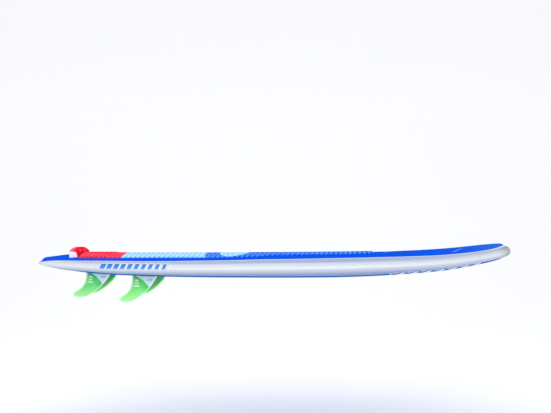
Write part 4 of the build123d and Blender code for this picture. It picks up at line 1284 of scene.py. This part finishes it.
def fin_paint():
    """Green laminate, pale panel at the root, bright rims; the rims and a slight glow are painted
    light, the flat face and the root corner carry painted shade.
    """
    paint = Material("fin_laminate", rough=0.28, spec=0.15)
    paint.gloss(0.03, rough=0.1)
    fx, fd, fe, fs = (paint.attr(key) for key in ("fx", "fd", "fe", "fs"))
    outer = fs.step(-0.2, 0.2)
    body = paint.ramp(fd / 127.0, [(0.0, "00a83a"), (0.16, "10c04a"), (0.38, "52e070"),
                                   (0.62, "70ea80"), (1.0, "9ff199")])
    # the flat inner face is a darker copy of the green: painted shade
    inside = paint.ramp(fd / 127.0, [(0.0, "1f8038"), (0.35, "2f9340"), (0.6, "55a648"),
                                     (1.0, "82da60")])
    streak = paint.noise(scale=40, detail=4, rough=0.6, stretch=(1, 1, 0.25))
    body = paint.mix(streak.step(0.45, 0.8) * 0.35, body, rgb("a6e88c"))
    inside = paint.mix(streak.step(0.45, 0.8) * 0.3, inside, rgb("6fae4c"))
    # painted shade in the corner at the rear of the root, under the board
    root = fx.step(-30, -52) * fd.step(42, 12)
    body = paint.mix(root * 0.8, body, rgb("639a52"))
    # root panel above a curve that deepens toward the leading edge, with a white border
    gap = fd - ((fx + 55.0) / 79.0).max(0.0).pow(1.9) * 57.0
    panel = gap.step(0.3, -0.3)
    body = paint.mix(panel, body, fin_panel(paint, fx, fd))
    border = gap.between(-1.6, 1.2, 0.4) + (fe.step(5.4, 3.6) * panel)
    body = paint.mix(border.clamp(), body, rgb("f0f6fb"))
    bars = fin_bars(fx, fd)
    body = paint.mix(bars * 0.75, body, rgb("eef6f4"))
    # deeper green behind the panel, warm streaks toward the tip, lime at the trailing edge
    middle = fx.step(-30, 10) * fd.step(80, 48)
    body = paint.mix(middle * 0.6 * (1.0 - panel), body, rgb("04c04c"))
    glow = fd.step(48, 100) * streak.step(0.3, 0.6)
    body = paint.mix(glow * 0.30, body, rgb("b4dc74"))
    trail = fx.step(-22, -44) * fd.step(10, 24) * fd.step(70, 48)
    body = paint.mix(trail * 0.55 * (1.0 - bars), body, rgb("8fe058"))
    # rims of both faces, paler: painted light passing through the thin edges
    rim = fe.step(9.5, 3.0) * (1.0 - panel)
    body = paint.mix(rim * 0.85, body, rgb("c0ffd2"))
    lead = fx.step(-60, 20) * fd.step(70, 50)
    # bright green edge of the flat face: painted light through the edge
    inner_edge_glow = paint.mix(lead, rgb("a9f9a0"), rgb("16e070"))
    inside = paint.mix(fe.step(11.0, 8.0) * 0.95, inside, inner_edge_glow)
    colour = paint.mix(outer, inside, body)
    paint.set("Base Color", colour)
    # the fins glow a little: painted light standing in for light through the laminate
    paint.set("Emission Color", colour)
    paint.set("Emission Strength", outer * -0.10 + 0.28)
    grain = paint.noise(scale=700, detail=2, rough=0.5)
    paint.bump(streak * 0.6 + grain * 0.4, distance=0.00006, strength=0.5)
    return paint


FIN_PAINT = fin_paint()
for _name in FINS:
    _body = "fin_" + _name
    _blade, _base, _tongue = make_fin(_name)
    fit(_blade, _body, "fin_green", FIN_PAINT, _body)
    fit(_base, _body, "fin_green", FIN_PAINT)
    fit(_tongue, _body, "fin_green", FIN_PAINT)


# ---------------------------------------------------------------- carry handle
def make_grip():
    """Moulded bar along the handle's mouth, waisted, with finger ribs underneath."""
    count, inset, power = 40, 0.5, 2 / 3.2
    a = np.linspace(0, 2 * np.pi, count, endpoint=False)
    across = np.sign(np.cos(a)) * np.abs(np.cos(a)) ** power
    upward = np.sign(np.sin(a)) * np.abs(np.sin(a)) ** power
    loops = []
    for x in np.linspace(-GRIP_HALF, GRIP_HALF, 190):
        share = abs(x) / GRIP_HALF
        width = GRIP_HALF_W * (1 - 0.10 * (1 - share ** 2))
        # the last part of each end is rounded off
        end = max(math.sqrt(max(1 - max((share - 0.975) / 0.025, 0) ** 2, 0.0)), 0.55)
        wave = max(math.cos(x / 6.2 * 2 * math.pi), -0.2)
        rib = 0.45 * wave * float(np.clip((0.82 - share) / 0.05, 0, 1))
        y = across * (width - inset + rib) * end
        z = upward * (GRIP_HALF_H - inset + rib * (upward < 0)) * end
        crown = float(deck_z(HANDLE_X + x, 0.0))
        drop = crown - deck_z(HANDLE_X + x, y)
        centre = crown - 0.9 - GRIP_HALF_H
        loops.append(np.c_[np.full(count, HANDLE_X + x), y, centre + z - drop])
    ob = new_object("grip_bar", *rings(loops))
    face_outward(ob)
    smooth(ob, 50)
    return ob


# ---------------------------------------------------------------- finishes of the CAD pieces
def moulded(name, colour, rough=0.42, wear=0.35):
    """Injection-moulded plastic: spark-eroded grain, paler handled edges."""
    m = Material(name, rough=rough)
    grain = m.noise(scale=3200, detail=2, rough=0.6)
    blotch = m.noise(scale=30, detail=3, rough=0.5)
    base = rgb(colour)
    lighter = tuple(min(1.0, v * 1.6 + 0.05) for v in base[:3]) + (1.0,)
    col = m.mix(m.edge_light() * wear, base, lighter)
    m.set("Base Color", m.scale_colour(col, blotch * 0.16 + 0.92))
    m.set("Roughness", grain * 0.12 + blotch * 0.08 + (rough - 0.10))
    m.bump(grain, distance=0.0001, strength=0.5)
    return m


def metal(name, colour="c9cbd0", rough=0.22):
    """Brushed metal with bright edges."""
    m = Material(name, rough=rough, metal=1.0)
    brush = m.noise(scale=500, detail=3, rough=0.6, stretch=(1, 1, 12))
    col = m.mix(m.edge_light(radius=0.0004) * 0.5, rgb(colour), rgb("f2f3f5"))
    m.set("Base Color", m.scale_colour(col, brush * 0.12 + 0.92))
    m.set("Roughness", brush * 0.16 + (rough - 0.06))
    m.bump(brush, distance=0.00004, strength=0.4)
    return m


def bead_foam(name, colour, dark, scale=330.0):
    """Foam of fused beads, darker between them."""
    m = Material(name, rough=0.8)
    cell = m.voronoi(scale)
    col = m.mix(cell.step(0.25, 0.75) * 0.6, rgb(colour), rgb(dark))
    blotch = m.noise(scale=20, detail=3, rough=0.5)
    m.set("Base Color", m.scale_colour(col, blotch * 0.1 + 0.95))
    m.bump(cell * -1.0, distance=0.0006, strength=0.6)
    return m


def wood(name):
    """Wood with its grain along X."""
    m = Material(name, rough=0.55)
    figure = m.noise(scale=22, detail=5, rough=0.65, stretch=(0.35, 6, 6))
    band = (figure * 26.0).sin() * 0.5 + 0.5
    col = m.ramp(band, [(0.0, "a9793f"), (0.5, "c79a5e"), (1.0, "dcb681")])
    pores = m.noise(scale=300, detail=3, rough=0.6, stretch=(0.2, 3, 3))
    m.set("Base Color", m.scale_colour(col, pores * 0.2 + 0.88))
    m.set("Roughness", band * 0.15 + 0.45)
    m.bump(band, distance=0.0002, strength=0.4)
    return m


def rubbery(name, colour):
    """Matt rubber with greyer edges."""
    m = Material(name, rough=0.6, sheen=0.2)
    grain = m.noise(scale=2200, detail=3, rough=0.6)
    col = m.mix(m.edge_light() * 0.3, rgb(colour), rgb("4a4b50"))
    blotch = m.noise(scale=40, detail=3, rough=0.5)
    m.set("Base Color", m.scale_colour(col, blotch * 0.3 + 0.85))
    m.set("Roughness", grain * 0.15 + 0.5)
    m.bump(grain, distance=0.00015, strength=0.6)
    return m


def woven(name, colour):
    """Cloth with threads along X and Y."""
    m = Material(name, rough=0.85, sheen=0.3)
    x, y = m.position("xy")
    weave = (x * 8.0).sin() * (y * 8.0).sin()
    col = m.mix(weave.step(-0.5, 0.5), rgb(colour), rgb("b9b9b2"))
    m.set("Base Color", m.scale_colour(col, m.noise(scale=400, detail=2) * 0.1 + 0.95))
    m.bump(weave, distance=0.0002, strength=0.6)
    return m


FINISHES = {
    "foam_core": bead_foam("bead_foam", "f3f3f1", dark="d9d9d6"),
    "foam_block": bead_foam("dense_foam", "d9b974", dark="b8944e", scale=900.0),
    "wood": wood("stringer_wood"),
    "black_plastic": moulded("moulded_black", "17181b"),
    "white_plastic": moulded("moulded_white", "d8dbe0", rough=0.35, wear=0.2),
    "grip_rubber": rubbery("grip_rubber", "1b1c20"),
    "oring_rubber": rubbery("ring_rubber", "121315"),
    "stainless": metal("stainless"),
    "membrane": woven("vent_cloth", "e6e6df"),
}
fit(make_grip(), "hull", "grip_rubber", FINISHES["grip_rubber"], "handle_grip")
for _part in frame["record"]["subparts"]:
    if _part["node"] not in REPLACED:
        _materials = frame["nodes"][_part["node"]].data.materials
        _materials.clear()
        _materials.append(FINISHES[_part["material_slot"]].mat)


# ---------------------------------------------------------------- studio, metres
def studio_paper():
    """Pale paper, invisible from below so that the underside can be looked at."""
    mat = bpy.data.materials.new("studio_paper")
    mat.use_nodes = True
    tree = mat.node_tree
    bsdf = tree.nodes["Principled BSDF"]
    noise = add_node(tree, "TexNoise", {"Scale": 3.0}, "Fac")
    tone = colour_ramp(tree, noise, [(0.0, (0.90, 0.90, 0.905, 1)), (1.0, (0.93, 0.93, 0.935, 1))])
    for socket, value in (("Base Color", tone), ("Roughness", 0.9), ("Specular IOR Level", 0.1),
                          ("Emission Color", (1, 1, 1, 1)), ("Emission Strength", 0.16)):
        feed(value, bsdf.inputs[socket])
    clear = add_node(tree, "BsdfTransparent", {})
    behind = add_node(tree, "NewGeometry", {}, "Backfacing")
    mixed = add_node(tree, "MixShader", {0: behind, 1: Value(tree, bsdf.outputs[0]), 2: clear})
    feed(mixed, tree.nodes["Material Output"].inputs["Surface"])
    return mat


def studio():
    """One pale sweep: floor, curve and back wall."""
    floor_z, wall_z, near_y, curve_y, radius = -0.80, 7.0, -9.0, 2.6, 2.2
    profile = [(near_y, 0.0), (curve_y, 0.0)]
    for a in np.linspace(0, math.pi / 2, 24)[1:]:
        profile.append((curve_y + radius * math.sin(a), radius * (1 - math.cos(a))))
    profile.append((4.8, wall_z))
    columns = np.linspace(-9, 9, 3)
    verts = [(x, y, floor_z + z) for x in columns for y, z in profile]
    count = len(profile)
    faces = []
    for i in range(len(columns) - 1):
        for j in range(count - 1):
            a = i * count + j
            faces.append((a, a + count, a + count + 1, a + 1))
    mesh = bpy.data.meshes.new("studio_floor")
    mesh.from_pydata(verts, [], faces)
    mesh.update()
    mesh.shade_smooth()
    ob = bpy.data.objects.new("studio_floor", mesh)
    bpy.context.scene.collection.objects.link(ob)
    mesh.materials.append(studio_paper())


def studio_world(colour, strength):
    world = bpy.data.worlds.new("studio_world")
    bpy.context.scene.world = world
    world.use_nodes = True
    background = world.node_tree.nodes["Background"]
    background.inputs[0].default_value = colour
    background.inputs[1].default_value = strength


def softbox(name, place, size, power, target=(0, 0, 0)):
    light = bpy.data.lights.new(name, "AREA")
    light.shape, light.size, light.size_y = "RECTANGLE", size[0], size[1]
    light.energy = power
    ob = bpy.data.objects.new(name, light)
    ob.location = place
    ob.rotation_mode = "QUATERNION"
    ob.rotation_quaternion = (Vector(target) - Vector(place)).to_track_quat("-Z", "Y")
    bpy.context.scene.collection.objects.link(ob)


def add_camera(place, tilt, lens):
    """Camera looking toward +Y; a tilt of 90 degrees is level."""
    data = bpy.data.cameras.new("camera")
    data.lens, data.sensor_width = lens, 36.0
    data.clip_start, data.clip_end = 0.05, 60
    camera = bpy.data.objects.new("camera", data)
    camera.location = place
    camera.rotation_euler = (math.radians(tilt), 0, 0)
    bpy.context.scene.collection.objects.link(camera)
    bpy.context.scene.camera = camera


studio()
studio_world(colour=(0.97, 0.98, 1.0, 1), strength=0.78)
softbox("key_soft", place=(-0.6, -3.0, 2.6), size=(4.5, 1.4), power=30)
softbox("top_soft", place=(0.0, 0.6, 2.8), size=(4.5, 2.0), power=24)
softbox("low_fill", place=(0.3, -3.4, 0.05), size=(4.0, 0.35), power=5, target=(0, 0, -0.05))
add_camera(place=(-0.05385, -4.400, 0.14565), tilt=91.139, lens=57.7)
bpy.context.scene.view_settings.view_transform = "Standard"
bpy.context.scene.view_settings.look = "None"
